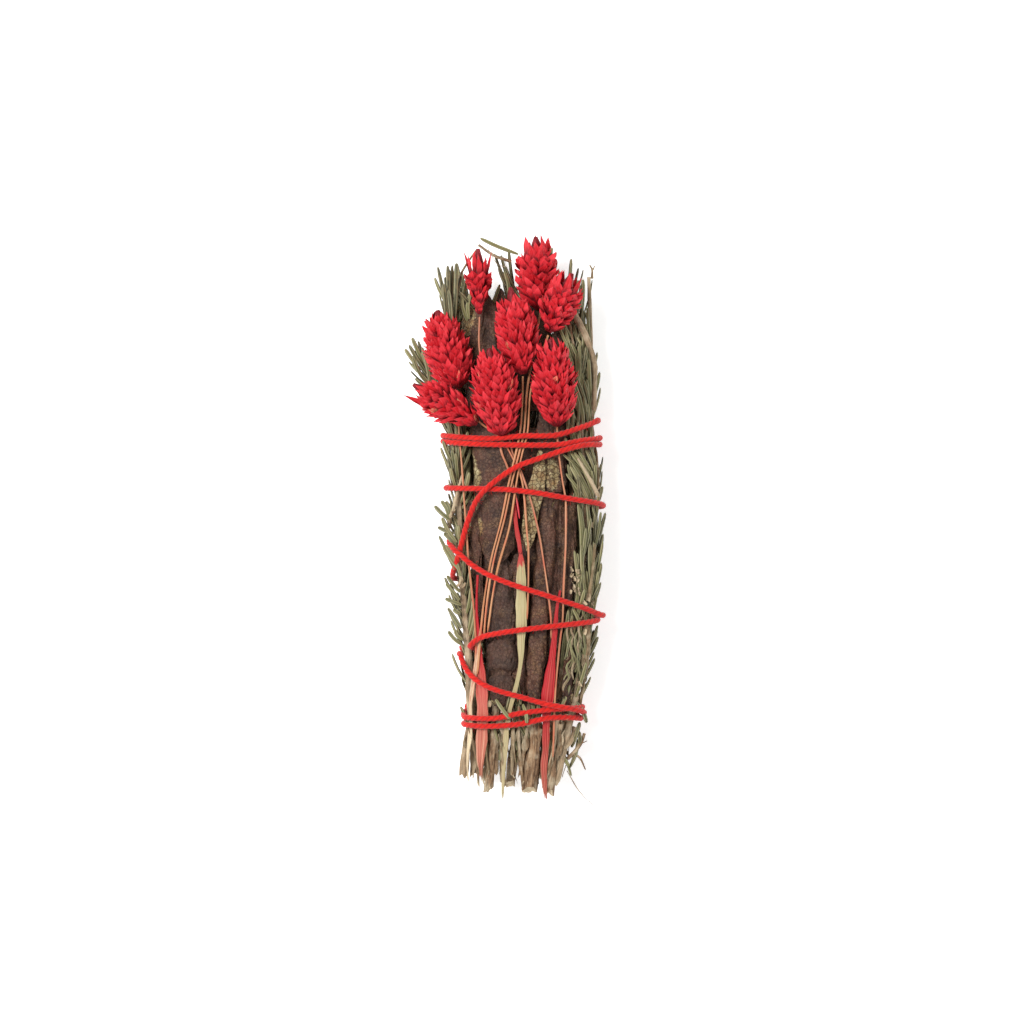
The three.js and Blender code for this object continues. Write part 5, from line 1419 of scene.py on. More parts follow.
# Each woody stem is a list of (y, degrees, depth) round the bundle from its cut end to its tip.
# Needles grow in crosswise pairs, from as many nodes as are given, between the two shares of its
# length given. Spread lets them stand out further towards the top, short is their length over the
# usual one, and pale is how pale the wood is.
SPRIGS = [
    {
        "name": "rosemary_left_front",
        "stem": [(-86, 184, 0.6), (-78, 185, 1.6), (-68, 184, 2.8), (-57, 177, 2.6), (-46, 168, 2.4),
                 (-41, 167, 2.2), (-21, 168, 2.6), (0, 164, 3.3), (22, 162, 3.4), (36, 172, 2.2),
                 (44, 178, -2.8), (51, 180, -6.2)],
        "radii": (1.45, 0.55),
        "pale": 0.3,
        "needles": (0.2, 1.0),
        "spread": 9,
        "short": 0.75,
        "nodes": 58,
        "seed": 101,
    },
    {
        "name": "rosemary_left_back",
        "stem": [(-86, 194, 3.6), (-60, 202, 3.4), (-40, 206, 3.6), (-15, 202, 3.4), (20, 198, 3.6),
                 (64, 190, 4.4)],
        "short": 0.75,
        "radii": (1.3, 0.55),
        "needles": (0.14, 1.0),
        "nodes": 60,
        "seed": 102,
    },
    {
        "name": "rosemary_back_left",
        "stem": [(-88, 232, 3.8), (-50, 226, 3.8), (0, 224, 3.8), (40, 222, 4.0), (72, 218, 4.4)],
        "radii": (1.5, 0.6),
        "needles": (0.12, 1.0),
        "nodes": 56,
        "seed": 103,
    },
    {
        "name": "rosemary_back_middle",
        "stem": [(-90, 262, 5.6), (-50, 268, 7.4), (0, 270, 7.6), (40, 268, 7.0), (78, 266, 5.0)],
        "radii": (1.7, 0.6),
        "needles": (0.12, 1.0),
        "nodes": 52,
        "seed": 104,
    },
    {
        "name": "rosemary_back_right",
        "stem": [(-88, 306, 3.8), (-50, 314, 3.8), (0, 316, 3.8), (40, 316, 4.0), (74, 318, 4.4)],
        "radii": (1.5, 0.6),
        "needles": (0.12, 1.0),
        "nodes": 56,
        "seed": 105,
    },
    {
        "name": "rosemary_right_back",
        "stem": [(-86, 340, 3.6), (-50, 342, 3.4), (0, 344, 3.4), (40, 346, 3.6), (68, 350, 4.2)],
        "radii": (1.3, 0.55),
        "needles": (0.14, 1.0),
        "nodes": 60,
        "seed": 106,
    },
    {
        "name": "rosemary_right_front",
        "stem": [(-88, 26, 3.2), (-60, 12, 3.2), (-30, 8, 3.2), (8, 6, 3.2), (34, 6, 3.0), (62, 8, 1.2),
                 (81, 4, 0.6)],
        "radii": (1.3, 0.6),
        "pale": 0.35,
        "needles": (0.16, 0.86),
        "nodes": 60,
        "seed": 107,
    },
    {
        "name": "rosemary_front_right",
        "stem": [(-60, 38, 6.6), (-46, 37, 6.2), (-30, 36, 4.6), (0, 32, 3.2), (24, 32, 3.4),
                 (46, 32, 3.6), (68, 42, 3.6)],
        "radii": (1.2, 0.55),
        "needles": (0.06, 1.0),
        "nodes": 56,
        "seed": 108,
    },
    {
        "name": "rosemary_inner_left",
        "stem": [(-91, 128, 3.4), (-70, 128, 6.0), (-40, 140, 10.4), (0, 152, 10.2), (40, 150, 8.8),
                 (66, 138, 6.4)],
        "radii": (1.5, 0.6),
        "needles": (0.1, 1.0),
        "nodes": 34,
        "seed": 109,
    },
    {
        "name": "rosemary_inner_middle",
        "stem": [(-91, 74, 3.6), (-74, 72, 5.2), (-60, 78, 9.6), (-42, 84, 13.0), (0, 86, 13.6),
                 (40, 84, 11.6), (74, 84, 9.0)],
        "radii": (2.5, 0.6),
        "needles": (0.12, 1.0),
        "nodes": 34,
        "seed": 110,
    },
    {
        "name": "rosemary_inner_right",
        "stem": [(-92, 41, 3.2), (-76, 38, 5.6), (-56, 20, 10.4), (-40, 10, 11.8), (0, 10, 10.6),
                 (40, 14, 9.4), (70, 30, 8.2)],
        "radii": (2.0, 0.6),
        "needles": (0.12, 1.0),
        "nodes": 34,
        "seed": 111,
    },
    {
        "name": "rosemary_top_left",
        "stem": [(-40, 178, 8.6), (0, 182, 8.2), (40, 176, 6.4), (58, 170, 4.0), (70, 170, 2.6)],
        "radii": (1.0, 0.6),
        "needles": (0.2, 1.0),
        "spread": 3,
        "nodes": 46,
        "seed": 112,
    },
]

SIDE_ALLOWANCE = 3.2  # how far a needle's tip may stand out of the bundle
RIGHT_ALLOWANCE = 0.9
LOOSE_FROM = 34  # y from which a sprig's needles spread, and over what length
LOOSE_OVER = 14
FRONT_SHARE = 0.72  # share of the half-depth above which a needle counts as on the front
NEEDLE_FLOOR = 0.9  # how low a needle may come
TURNS_TRIED = (0, 25, -25, 50, -50)
LEANS_TRIED = (1, 0.75, 0.5, 0.28)
NODE_NEEDLES = 2
TIP_NEEDLES = 5
NEEDLE_SHARES = np.array([0, 0.12, 0.3, 0.5, 0.7, 0.87, 0.965, 1.0])
NEEDLE_ANGLES = np.radians([-112, -72, -30, 0, 30, 72, 112])
NEEDLE_HALF_WIDTH = 0.7
NEEDLE_FLATNESS = 0.62


def facing(way, point):
    """The way that a needle's upper face points: outward, and to the sky on the upper half."""
    sky = clamp(outward(point)[2] + 0.5, 0, 1)
    return unit(way + outward(point) * 0.6 + np.array([0, 0, 1.6 * sky]))


def needle_line(place, out, spread, length):
    """Points of a needle's middle, leaning less and less away from its stem."""
    middle, way, radius = place
    angles = spread * (1 - 0.62 * NEEDLE_SHARES[1:])
    steps = way * np.cos(angles)[:, None] + out * np.sin(angles)[:, None]
    steps *= length * np.diff(NEEDLE_SHARES)[:, None]
    start = middle + out * radius * 0.6
    return np.vstack([start, start + np.cumsum(steps, axis=0)])


def needle_fits(line, sprig):
    if line[:, 2].min() < NEEDLE_FLOOR:
        return False
    samples = np.concatenate([line[1:], (line[1:-2] + line[2:-1]) / 2])
    if is_taken(solid_room, samples).any() or is_taken(needle_room, samples).any():
        return False
    tip = line[-1]
    middle, half_width, half_depth, height = girth_at(tip[1])
    loose = sprig.get("spread", 0) * clamp((tip[1] - LOOSE_FROM) / LOOSE_OVER, 0, 1)
    is_front = tip[2] > height + half_depth * FRONT_SHARE
    aside = RIGHT_ALLOWANCE if tip[0] > middle else SIDE_ALLOWANCE
    allowance = 0.0 if is_front else aside + loose
    return reach(tip) < 1 + allowance / half_width


def needle_blade(shape, line, out, half_width, tint, kind=0):
    """A narrow leaf with its edges rolled under."""
    ways = units(np.gradient(line, axis=0))
    wides = units(np.cross(ways, out))
    rises = np.cross(wides, ways)
    t = NEEDLE_SHARES
    profile = np.minimum(1, 0.5 + 2.4 * t) * np.clip(1 - t ** 14, 0.0, 1) ** 0.5
    half = (half_width * profile)[:, None, None]
    points = line[:, None] + half * (
        wides[:, None] * np.sin(NEEDLE_ANGLES)[None, :, None]
        + rises[:, None] * (np.cos(NEEDLE_ANGLES) * NEEDLE_FLATNESS)[None, :, None]
    )
    # The mask tells the material where to paint shade in the groove and on the sides, and where the lighter
    # bands between them go
    shape.grid(points, tint=tint, mask=np.abs(np.sin(NEEDLE_ANGLES / 2))[None, :], kind=kind)


def grow_needle(shape, sprig, place, turn, frame_here, draw):
    """A needle at the first of the leans and turns tried that keeps it clear, or none."""
    side, rise = frame_here
    length = NEEDLE_LENGTH * sprig.get("short", 1) * draw(0.78, 1.12)
    spread = math.radians(draw(30, 48))
    tint = draw()
    half_width = NEEDLE_HALF_WIDTH * draw(0.82, 1.12)
    for lean in LEANS_TRIED:
        for shift in TURNS_TRIED:
            angle = turn + math.radians(shift)
            out = side * math.cos(angle) + rise * math.sin(angle)
            line = needle_line(place, out, spread * lean, length)
            if needle_fits(line, sprig):
                needle_blade(shape, line, facing(out, line[4]), half_width, tint)
                take(needle_room, line[3:], GROWN_ROOM)
                take(needle_room, (line[3:-2] + line[4:-1]) / 2, GROWN_ROOM)
                return


def woody_stem(shape, points, radii, seed, kind=1, tint=0.0, sides=12, step=1.1, bumps=(), torn=0.0,
               pale=0.0):
    """A stem with lengthwise ridges, swollen at bumps, with a pale cut end that is torn slantwise."""
    curve = Curve(points)
    rows = max(3, math.ceil(curve.length / step))
    shares = np.linspace(0, 1, rows + 1)
    line = curve.at(shares)
    size = radii[0] + (radii[1] - radii[0]) * shares
    for bump in bumps:
        size = size * (1 + 0.2 * np.exp(-((shares - bump) * curve.length / 0.9) ** 2))
    size = size * (1 + 0.07 * np.sin(shares * curve.length * 0.55 + seed))

    def ripple(row, angle):
        broad = 0.09 * np.cos(5 * angle + row * 0.21 + seed)
        return 1 + broad + 0.05 * np.cos(9 * angle - row * 0.4) + 0.035 * np.cos(16 * angle + row * 0.3)

    body = tube_grid(line, size, sides, ripple)
    angles = np.linspace(0, 2 * math.pi, sides + 1)
    teeth = np.cos(angles - seed) + 0.5 * np.cos(3 * angles + seed) + 0.35 * np.cos(5 * angles - 2 * seed)
    slant = torn * teeth
    for row in range(3):
        body[row] += curve.tangents([shares[row]])[0] * (slant * (1 - row / 3))[:, None]
    shape.grid(body, tube_places(line, size, sides), tint=tint, mask=pale, kind=kind)
    for end, inward in ((0, 1), (rows, -1)):
        ring = body[end]
        middle = ring.mean(axis=0)
        cap = np.stack([ring, middle + (ring - middle) * 0.55, np.broadcast_to(middle, ring.shape)])
        cap = cap if inward > 0 else cap[::-1]
        shape.grid(cap[::-1], mask=1.0, kind=kind)


def sprig_curve(sprig):
    return Curve([around(y, degrees, depth) for y, degrees, depth in sprig["stem"]])


def make_sprig(sprig):
    draw = Draw(sprig["seed"])
    curve = sprig_curve(sprig)
    first, last = sprig["needles"]
    shares = first + (last - first) * (np.arange(sprig["nodes"]) + 0.5) / sprig["nodes"]
    shape = Shape()
    woody_stem(shape, curve.points, sprig["radii"], sprig["seed"], bumps=shares[::3], torn=1.1,
               sides=20, pale=sprig.get("pale", 0.0))
    middles = curve.at(shares)
    ways = curve.tangents(shares)
    sides = units(np.cross(ways, outward(middles)))
    rises = np.cross(sides, ways)
    for i, share in enumerate(shares):
        radius = sprig["radii"][0] + (sprig["radii"][1] - sprig["radii"][0]) * share
        place = (middles[i], ways[i], radius)
        count = TIP_NEEDLES if i == len(shares) - 1 else NODE_NEEDLES
        start = math.pi / 2 * (i % 2) + draw(-0.5, 1.0)
        for k in range(count):
            turn = start + 2 * math.pi * k / count
            grow_needle(shape, sprig, place, turn, (sides[i], rises[i]), draw)
    add_piece(sprig["name"].replace("rosemary", "sprig"), shape, ROSEMARY, "rosemary", sprig["name"])


# Needles laid along the front

# Each fan is a row of needles whose roots and tips lie evenly along two lines of (x, y). Halfway
# they bow sideways by about so many millimetres, to the left where the number is negative.
FANS = [
    {"roots": [(21.0, 28.5), (30.2, 31.5)], "tips": [(18.2, 45), (27.0, 48)], "bow": 1.2, "count": 7},
    {"roots": [(23.4, 40.0), (29.4, 44.0)], "tips": [(19.6, 57), (25.2, 61)], "bow": 1.4, "count": 5},
    {"roots": [(26.6, 52.0), (28.6, 55.0)], "tips": [(24.0, 66), (26.6, 69)], "bow": 0.8, "count": 2},
    {"roots": [(30.4, 9.6), (31.0, 11.0)], "tips": [(19.0, 20.8), (28.6, 23.6)], "bow": 0.6, "count": 8},
    {"roots": [(27.4, 3.4), (28.8, 6.0)], "tips": [(19.4, 15.0), (23.8, 20.0)], "bow": 0.9, "count": 5},
    {"roots": [(24.8, -12.4), (32.0, -11.0)], "tips": [(23.4, 4.4), (30.8, 5.0)], "bow": 0.5, "count": 9},
    {"roots": [(25.6, -27.4), (30.4, -26.0)], "tips": [(23.0, -10), (29.6, -8.4)], "bow": -0.5, "count": 6},
    {"roots": [(23.4, -44.0), (29.0, -41.0)], "tips": [(22.6, -31), (28.6, -27)], "bow": 1.6, "count": 4},
    {"roots": [(-18.2, 9.2), (-13.9, 9.6)], "tips": [(-20.4, 24.0), (-14.4, 25.0)], "bow": -0.6, "count": 7},
    {"roots": [(-17.4, -20.0), (-13.2, -18.0)], "tips": [(-19.6, -3), (-13.9, -1)], "bow": -0.6, "count": 6},
    {"roots": [(-17.6, 29.6), (-15.6, 30.4)], "tips": [(-21.0, 42), (-17.4, 44)], "bow": -0.8, "count": 4},
]
# A needle lies at the first of these depths that is free, and its tint falls with the depth, as painted shade
# on the deeper needles
FAN_DEPTHS = (1.7, 2.3, 3.0)
FAN_DEPTH_SHADE = (1.0, 0.6, 0.25)
FAN_HALF_WIDTH = 0.66


def laid_needle(root, halfway, tip, depth):
    places = [(*root, depth + 0.8), (*halfway, depth), (*tip, depth - 0.2)]
    return Curve(laid_points(places, NEEDLE_SPACING)).at(NEEDLE_SHARES)


def make_fans():
    draw = Draw(211)
    shape = Shape()
    for fan in FANS:
        for i in range(fan["count"]):
            share = i / (fan["count"] - 1)
            root = [a + (b - a) * share + draw(-0.5, 0.5) for a, b in zip(*fan["roots"])]
            tip = [a + (b - a) * share + draw(-1.0, 1.0) for a, b in zip(*fan["tips"])]
            bow = fan["bow"] * draw(0.5, 1.4)
            halfway = [(root[0] + tip[0]) / 2 + bow, (root[1] + tip[1]) / 2]
            tint = draw(0.2, 1.0)
            half_width = FAN_HALF_WIDTH * draw(0.85, 1.15)
            for depth, depth_shade in zip(FAN_DEPTHS, FAN_DEPTH_SHADE):
                line = laid_needle(root, halfway, tip, depth)
                if is_taken(solid_room, line[1:]).any() or is_taken(needle_room, line[3:]).any():
                    continue
                # Deeper needles are darkened as painted shade
                needle_blade(shape, line, facing(outward(line[3]), line[3]), half_width, tint * depth_shade)
                take(needle_room, line[1:], LAID_ROOM)
                take(needle_room, (line[1:-1] + line[2:]) / 2, LAID_ROOM)
                break
    add_piece("needles_laid", shape, ROSEMARY, "rosemary")


# Single needles at the top, the base and the left edge, by their roots, tips and tints
FREE_NEEDLES = [
    ((4.0, 88.3, 20), (-8.7, 93.3, 25), 0.8),
    ((-19.6, 64, 21), (-22.8, 84.0, 24), 0.02),
    ((-18.8, 64, 24), (-19.4, 84.2, 27), 0.0),
    ((-18.0, 65, 22), (-17.9, 84.4, 25), 0.06),
    ((-17.4, 64, 25), (-16.6, 85.0, 27), 0.1),
    ((-17.2, 66, 21), (-15.0, 81.0, 24), 0.0),
    ((-19.8, 62, 24), (-20.8, 78.0, 28), 0.04),
    ((-18.4, 60, 26), (-19.0, 76.0, 29), 0.1),
    ((-11.0, 70.3, 22), (-15.6, 75.4, 25), 0.0),
    ((-13.0, 66.0, 21), (-14.6, 75.6, 24), 0.7),
    ((-12.4, 66.6, 22), (-11.8, 75.0, 24), 0.8),
    ((0.3, 77.7, 20), (-2.4, 84.0, 22), 0.0),
    ((1.0, 74.0, 20), (-0.6, 82.6, 22), 0.3),
    ((-26.3, 44.7, 24), (-31.0, 54.0, 27), 0.2),
    ((-28.6, 49.0, 25), (-33.7, 56.3, 27), 0.9),
    ((-25.4, 45.0, 22), (-28.0, 57.0, 24), 0.4),
    ((14.6, 84.0, 18), (15.6, 90.4, 20), 0.4),
    ((-3.4, -60.4, 26.4), (1.4, -66.9, 28.2), 0.6),
    ((5.6, -62.0, 27.0), (6.9, -68.3, 28.4), 0.7),
    ((23.6, -61.6, 20), (27.0, -68.6, 21), 0.1),
    ((24.8, -75.8, 15.6), (24.4, -71.6, 16), 0.04),
    ((22.0, -77.0, 16), (24.8, -68.4, 17), 0.1),
    ((21.4, -84.0, 14.4), (24.4, -74.0, 15), 0.2),
    ((-18.7, -0.7, 23.6), (-23.9, 4.1, 22.6), 0.4),
    ((-19.1, 0.2, 24.0), (-21.6, 5.8, 23.2), 0.5),
    ((-18.9, 1.0, 24.2), (-20.1, 5.6, 23.6), 0.3),
    ((-17.4, -5.3, 24.2), (-22.8, -3.0, 23.0), 0.2),
    ((-16.4, -8.2, 24.8), (-21.4, 0.2, 23.4), 0.6),
    ((-16.8, -9.4, 24.2), (-20.7, -5.0, 23.0), 0.2),
    ((-17.2, -17.3, 23.4), (-22.4, -5.9, 22.0), 0.3),
    ((-15.7, -17.3, 24.8), (-21.0, -9.4, 22.8), 0.7),
    ((-15.1, -19.4, 25.0), (-20.1, -9.0, 23.4), 0.6),
    ((-15.3, -24.8, 24.2), (-19.7, -19.2, 22.8), 0.3),
    ((-15.5, -27.3, 23.8), (-20.1, -21.7, 22.4), 0.5),
    ((-14.9, -29.0, 24.2), (-20.3, -26.9, 22.8), 0.4),
    ((-14.9, -36.9, 23.8), (-19.5, -30.0, 22.4), 0.2),
    ((-15.3, -31.9, 24.2), (-17.4, -30.3, 23.4), 0.4),
    ((-14.9, -42.3, 23.4), (-19.3, -37.8, 22.0), 0.4),
    ((-14.5, -40.7, 24.0), (-17.0, -37.3, 22.8), 0.6),
]


# Dried needles curled like shavings, low on the right
CURLED = {"left": 19.2, "right": 28.4, "low": -58.0, "high": -33.0, "count": 40, "wave": 0.9}


def make_curled_needles():
    draw = Draw(233)
    shape = Shape()
    steps = np.linspace(0, 1, len(NEEDLE_SHARES))
    for _ in range(CURLED["count"]):
        x = draw(CURLED["left"], CURLED["right"])
        y = draw(CURLED["low"], CURLED["high"] - 8)
        length = draw(8, 15)
        lean = draw(0.5, 3.5)
        phase = draw(0, 2 * math.pi)
        wave = CURLED["wave"] * draw(0.4, 1.3)
        places = []
        for step in steps:
            sway = wave * math.sin(phase + 5.5 * step)
            depth = 1.5 + 0.8 * math.cos(phase + 4 * step)
            places.append(on_front(x + lean * step + sway, y + length * step, depth))
        line = np.array(places)
        needle_blade(shape, line, facing(outward(line[3]), line[3]), draw(0.3, 0.5), draw(),
                     kind=int(draw(0, 2)))
        take(needle_room, line, LOOSE_ROOM)
    add_piece("needles_curled", shape, ROSEMARY, "rosemary")


def make_free_needles():
    draw = Draw(223)
    shape = Shape()
    for root, tip, tint in FREE_NEEDLES:
        root = np.array(root, float)
        tip = np.array(tip, float)
        bow = np.array([draw(-0.8, 0.8), 0, draw(0, 0.8)])
        line = Curve([root, (root + tip) / 2 + bow, tip]).at(NEEDLE_SHARES)
        out = np.array([draw(-0.3, 0.3), 0, 1.0])
        needle_blade(shape, line, out, NEEDLE_HALF_WIDTH * draw(0.9, 1.15), tint)
        take(needle_room, line, LOOSE_ROOM)
    add_piece("needles_loose", shape, ROSEMARY, "rosemary")


# Bare twigs, by (x, y, depth) from root to tip, radii at both, and how pale their wood is
TWIGS = [
    {"laid": [(29.6, 36.0, 0.8), (29.5, 51.7, 0.4), (27.6, 58.4, 0.0), (25.4, 63.5, 0.0), (21.6, 70.0, 0.4)],
     "radii": (0.7, 1.15), "tint": 0.0, "pale": 0.35},
    {"laid": [(-14.6, 14, 2.4), (-16.6, 7, 1.0), (-18.0, 1.6, 0.0), (-19.6, -3, 0.4)], "radii": (0.45, 0.65),
     "tint": 0.3, "pale": 0.8},
    {"laid": [(-17.8, 2.2, 0.2), (-20.6, 5.2, 0.0)], "radii": (0.5, 0.3), "tint": 0.3, "pale": 0.8},
    {"laid": [(-18.2, 1.0, 0.2), (-21.0, -0.6, 0.2)], "radii": (0.5, 0.2), "tint": 0.6, "pale": 0.4},
    {"laid": [(26.6, -34.6, 0.8), (27.4, -40, 0.6), (27.0, -45.6, 0.9)], "radii": (0.75, 0.95), "tint": 0.6},
    {"laid": [(26.2, -53.0, 0.8), (24.6, -63.5, 1.6)], "radii": (0.5, 0.6), "tint": 1.0},
    {"laid": [(29.6, -9.0, 1.2), (28.8, -18.0, 0.8), (27.6, -27.0, 0.8)], "radii": (0.4, 0.6), "tint": 1.0},
    {"laid": [(31.0, 10.0, 0.6), (30.6, 16.0, 1.0), (30.2, 24.0, 2.0)], "radii": (0.5, 0.45), "tint": 0.8},
    {"laid": [(30.6, 7.6, 0.2), (27.8, 13.0, 0.2), (23.8, 19.8, 0.8)], "radii": (0.75, 0.36), "tint": 0.2,
     "pale": 0.8},
]
# Loose ones by free points
STRAY_TWIGS = [
    {"points": [(1.7, 85.7, 22), (-4, 87.6, 23.4), (-9.2, 91.0, 25)], "radii": (0.62, 0.42), "tint": 0.0},
    {"points": [(-17.2, 77.6, 22), (-13.6, 84.0, 24), (-9.8, 89.4, 26)], "radii": (0.42, 0.3), "tint": 0.7},
    {"points": [(28.9, 80.4, 16), (28.8, 83.6, 17), (28.0, 84.8, 17.5)], "radii": (0.5, 0.25), "tint": 1.0},
    {"points": [(28.8, 82.6, 16.8), (29.8, 84.6, 17.6)], "radii": (0.35, 0.2), "tint": 1.0},
    {"points": [(20.6, -81.0, 15), (23.2, -78.4, 15), (25.3, -75.3, 15.4), (26.3, -72.3, 16)],
     "radii": (0.75, 0.5), "tint": 0.0},
    {"points": [(22.4, -79.3, 15), (24.7, -80.6, 14), (26.7, -84.7, 13)], "radii": (0.5, 0.22), "tint": 0.0},
    {"points": [(24.9, -76.0, 15.4), (27.2, -74.8, 16.4)], "radii": (0.26, 0.14), "tint": 0.2},
    {"points": [(20.5, -85, 14), (24.6, -92, 12), (29.0, -96.6, 9), (30.6, -97.8, 8)],
     "radii": (0.2, 0.07), "tint": 0.0},
    {"points": [(0.0, 84.0, 20), (-2.8, 84.8, 21), (-6.4, 90.6, 23)], "radii": (0.14, 0.1), "tint": 0.0},
]


def make_twigs():
    shape = Shape()
    for number, twig in enumerate(TWIGS):
        woody_stem(shape, laid_points(twig["laid"], YARN_SPACING), twig["radii"], 3.1 * number, kind=0,
                   tint=twig["tint"], sides=12, step=0.8, bumps=(0.4, 0.85), torn=0.4,
                   pale=twig.get("pale", 0))
        take(needle_room, np.array(laid_points(twig["laid"], ROOM_SPACING)), WOOD_ROOM)
    for number, twig in enumerate(STRAY_TWIGS):
        woody_stem(shape, twig["points"], twig["radii"], 1.7 * number, kind=0, tint=twig["tint"],
                   sides=7, step=0.8)
    add_piece("twigs", shape, [MATERIALS["bark"]], "rosemary")


# The cut base: broken twigs, shredded bark and short needles between the stems

BASE_LEFT = -14.5
BASE_RIGHT = 23.5
BASE_MIDDLE = 3.4
BASE_NEEDLES_END = -88
BASE_TWIG_COUNT = 20
BASE_SHRED_COUNT = 110
BASE_NEEDLE_COUNT = 130


def ribbon(shape, line, half_width, twist, pale, tint=0.5):
    """A thin strip of bark, twisted from end to end."""
    ways, aside, up = carried_frames(line)
    shares = np.linspace(0, 1, len(line))
    turn = (twist[0] + (twist[1] - twist[0]) * shares)[:, None]
    wide = aside * np.cos(turn) + up * np.sin(turn)
    out = np.cross(ways, wide)
    width = half_width * np.minimum(1, 4 * (1.04 - shares)) * (0.8 + 0.2 * np.sin(9 * shares + 5 * tint))
    across = np.array([-1, -0.4, 0.3, 1.0])
    points = line[:, None] + wide[:, None] * (across[None, :] * width[:, None])[..., None]
    points = points + out[:, None] * (0.25 * half_width * across[None, :] ** 2)[..., None]
    shape.grid(points, tint=tint, mask=pale)


def make_base_twigs():
    draw = Draw(401)
    shape = Shape()
    for i in range(BASE_TWIG_COUNT):
        x = BASE_LEFT + (BASE_RIGHT - BASE_LEFT) * (i + draw(0.1, 0.9)) / BASE_TWIG_COUNT
        depth = draw(2.6, 11)
        top = on_front(x + draw(-2, 2), -62 - draw(0, 6), depth + 1)
        low_y = -82 - draw(0, 9)
        low = on_front(BASE_MIDDLE + (x - BASE_MIDDLE) * 0.84 + draw(-2.2, 2.2), low_y, depth * 0.8)
        middle = (top + low) / 2 + np.array([draw(-0.7, 0.7), 0, draw(-0.4, 0.4)])
        thick = 0.4 + 0.9 * draw() ** 2
        woody_stem(shape, [low, middle, top], (thick, thick * 0.8), 5.3 * i, kind=0, tint=draw(),
                   sides=10, step=1.2, bumps=(draw(0.3, 0.7),), torn=draw(0.6, 1.6))
    add_piece("base_twigs", shape, [MATERIALS["bark"]], "rosemary")


def make_base_shreds():
    draw = Draw(419)
    shape = Shape()
    for i in range(BASE_SHRED_COUNT):
        near_right = i % 3 == 0
        x = draw(17.0, 22.5) if near_right else draw(BASE_LEFT, BASE_RIGHT)
        depth = draw(1.6, 9)
        top = on_front(x + draw(-1.5, 1.5), -66 - draw(0, 9), depth)
        low = on_front(BASE_MIDDLE + (x - BASE_MIDDLE) * 0.88 + draw(-3, 3), -76 - draw(0, 15), depth)
        middle = (top + low) / 2 + np.array([draw(-1.2, 1.2), 0, draw(-1, 1.2)])
        line = Curve([top, middle, low]).spaced(9)
        pale = draw(0.4, 1.0) if near_right else draw(0, 0.7) ** 2
        ribbon(shape, line, draw(0.3, 1.3), (draw(0, 3), draw(0, 3)), pale, draw())
    add_piece("base_shreds", shape, [MATERIALS["bark"]], "rosemary")


def make_base_needles():
    draw = Draw(431)
    shape = Shape()
    for _ in range(BASE_NEEDLE_COUNT):
        x = draw(BASE_LEFT + 3, BASE_RIGHT)
        y = draw(-82, -62)
        depth = draw(2.2, 10)
        length = draw(6, 13) * (1 if draw() < 0.7 else -1)
        lean = draw(-0.5, 0.5)
        root = on_front(x, y, depth + 1)
        tip = root + np.array([math.sin(lean), math.cos(lean), draw(-0.1, 0.12)]) * length
        if tip[1] < BASE_NEEDLES_END:
            continue
        bend = np.array([draw(-0.8, 0.8), 0, draw(-0.3, 0.6)])
        line = Curve([root, (root + tip) / 2 + bend, tip]).at(NEEDLE_SHARES)
        if is_taken(needle_room, line).any():
            continue
        out = unit(np.array([draw(-0.6, 0.6), 0, 1.0]))
        needle_blade(shape, line, out, NEEDLE_HALF_WIDTH * draw(0.7, 1.1), draw())
        take(needle_room, line[2:], LOOSE_ROOM)
    add_piece("base_needles", shape, ROSEMARY, "rosemary")


# Papery bud scales at the nodes, by x, y, depth and size
FLAKES = [
    (27.2, -26.2, 0.6, 2.2), (28.6, -28.4, 0.8, 1.6), (25.8, -28.4, 0.6, 1.7), (30.4, 8.2, 0.2, 1.6),
    (28.4, -2.2, 0.8, 1.4), (-17.9, 1.2, -0.4, 1.9), (-16.8, 2.6, 0.2, 1.2), (-14.9, -21.6, 0.2, 2.4),
    (-13.6, -22.6, 0.4, 1.7), (-14.2, -20.4, 0.4, 1.4), (-19.6, -29.6, 0.8, 1.2), (26.2, -37.8, 0.6, 1.6),
    (25.4, -47.6, 0.8, 1.8), (27.8, -31.4, 0.8, 1.3), (24.2, -55.6, 0.8, 1.9), (20.0, -66.4, 0.2, 1.8),
    (-5.4, -61.8, 1.4, 1.7), (8.6, -60.8, 1.4, 1.4),
]
# More of them in one place on the right
FLAKE_PATCH = {"x": (21.4, 24.8), "y": (-25.5, -16.0), "count": 26}
FLAKE_STEPS = 7


def make_flakes():
    draw = Draw(457)
    shape = Shape()
    ticks = np.linspace(-1, 1, FLAKE_STEPS + 1)
    u, v = np.meshgrid(ticks, ticks)
    flakes = list(FLAKES)
    for _ in range(FLAKE_PATCH["count"]):
        flakes.append((draw(*FLAKE_PATCH["x"]), draw(*FLAKE_PATCH["y"]), draw(1.0, 2.2), draw(0.5, 1.5)))
    for x, y, depth, size in flakes:
        middle = on_front(x, y, depth)
        out = unit(outward(middle) + np.array([draw(-0.5, 0.5), draw(-0.5, 0.5), 0]))
        aside = unit(np.cross(out, (draw(-0.6, 0.6), 1, 0)))
        ahead = np.cross(aside, out)
        spread = size * 0.5 * (1 - 0.35 * v ** 2)
        cup = 0.5 * size * (0.6 * u ** 2 - 0.3 * v + 0.25 * v ** 2)
        points = middle + aside * (u * spread * 0.8)[..., None] + ahead * (v * size * 0.6)[..., None]
        points = points + out * (cup + rough(points, 0.7, 0.6))[..., None]
        shape.grid(points, tint=draw(), mask=draw(0.3, 0.9))
    add_piece("bud_scales", shape, [MATERIALS["bark"]], "rosemary")


# Where the bare wood of a sprig shows, needles keep off it at several depths: (x, y) along it
BARE_WOOD = [
    [(29.2, 36), (29.6, 50), (29.2, 62), (28.9, 76), (28.6, 82)],
    [(-14.8, -22), (-13.9, -34), (-13.5, -43), (-12.6, -50)],
]
BARE_DEPTHS = (-0.6, 0.4, 1.4)


def keep_wood_bare():
    for places in BARE_WOOD:
        for depth in BARE_DEPTHS:
            points = laid_points([(x, y, depth) for x, y in places], ROOM_SPACING)
            take(needle_room, np.array(points), WOOD_ROOM)


# The whole stick

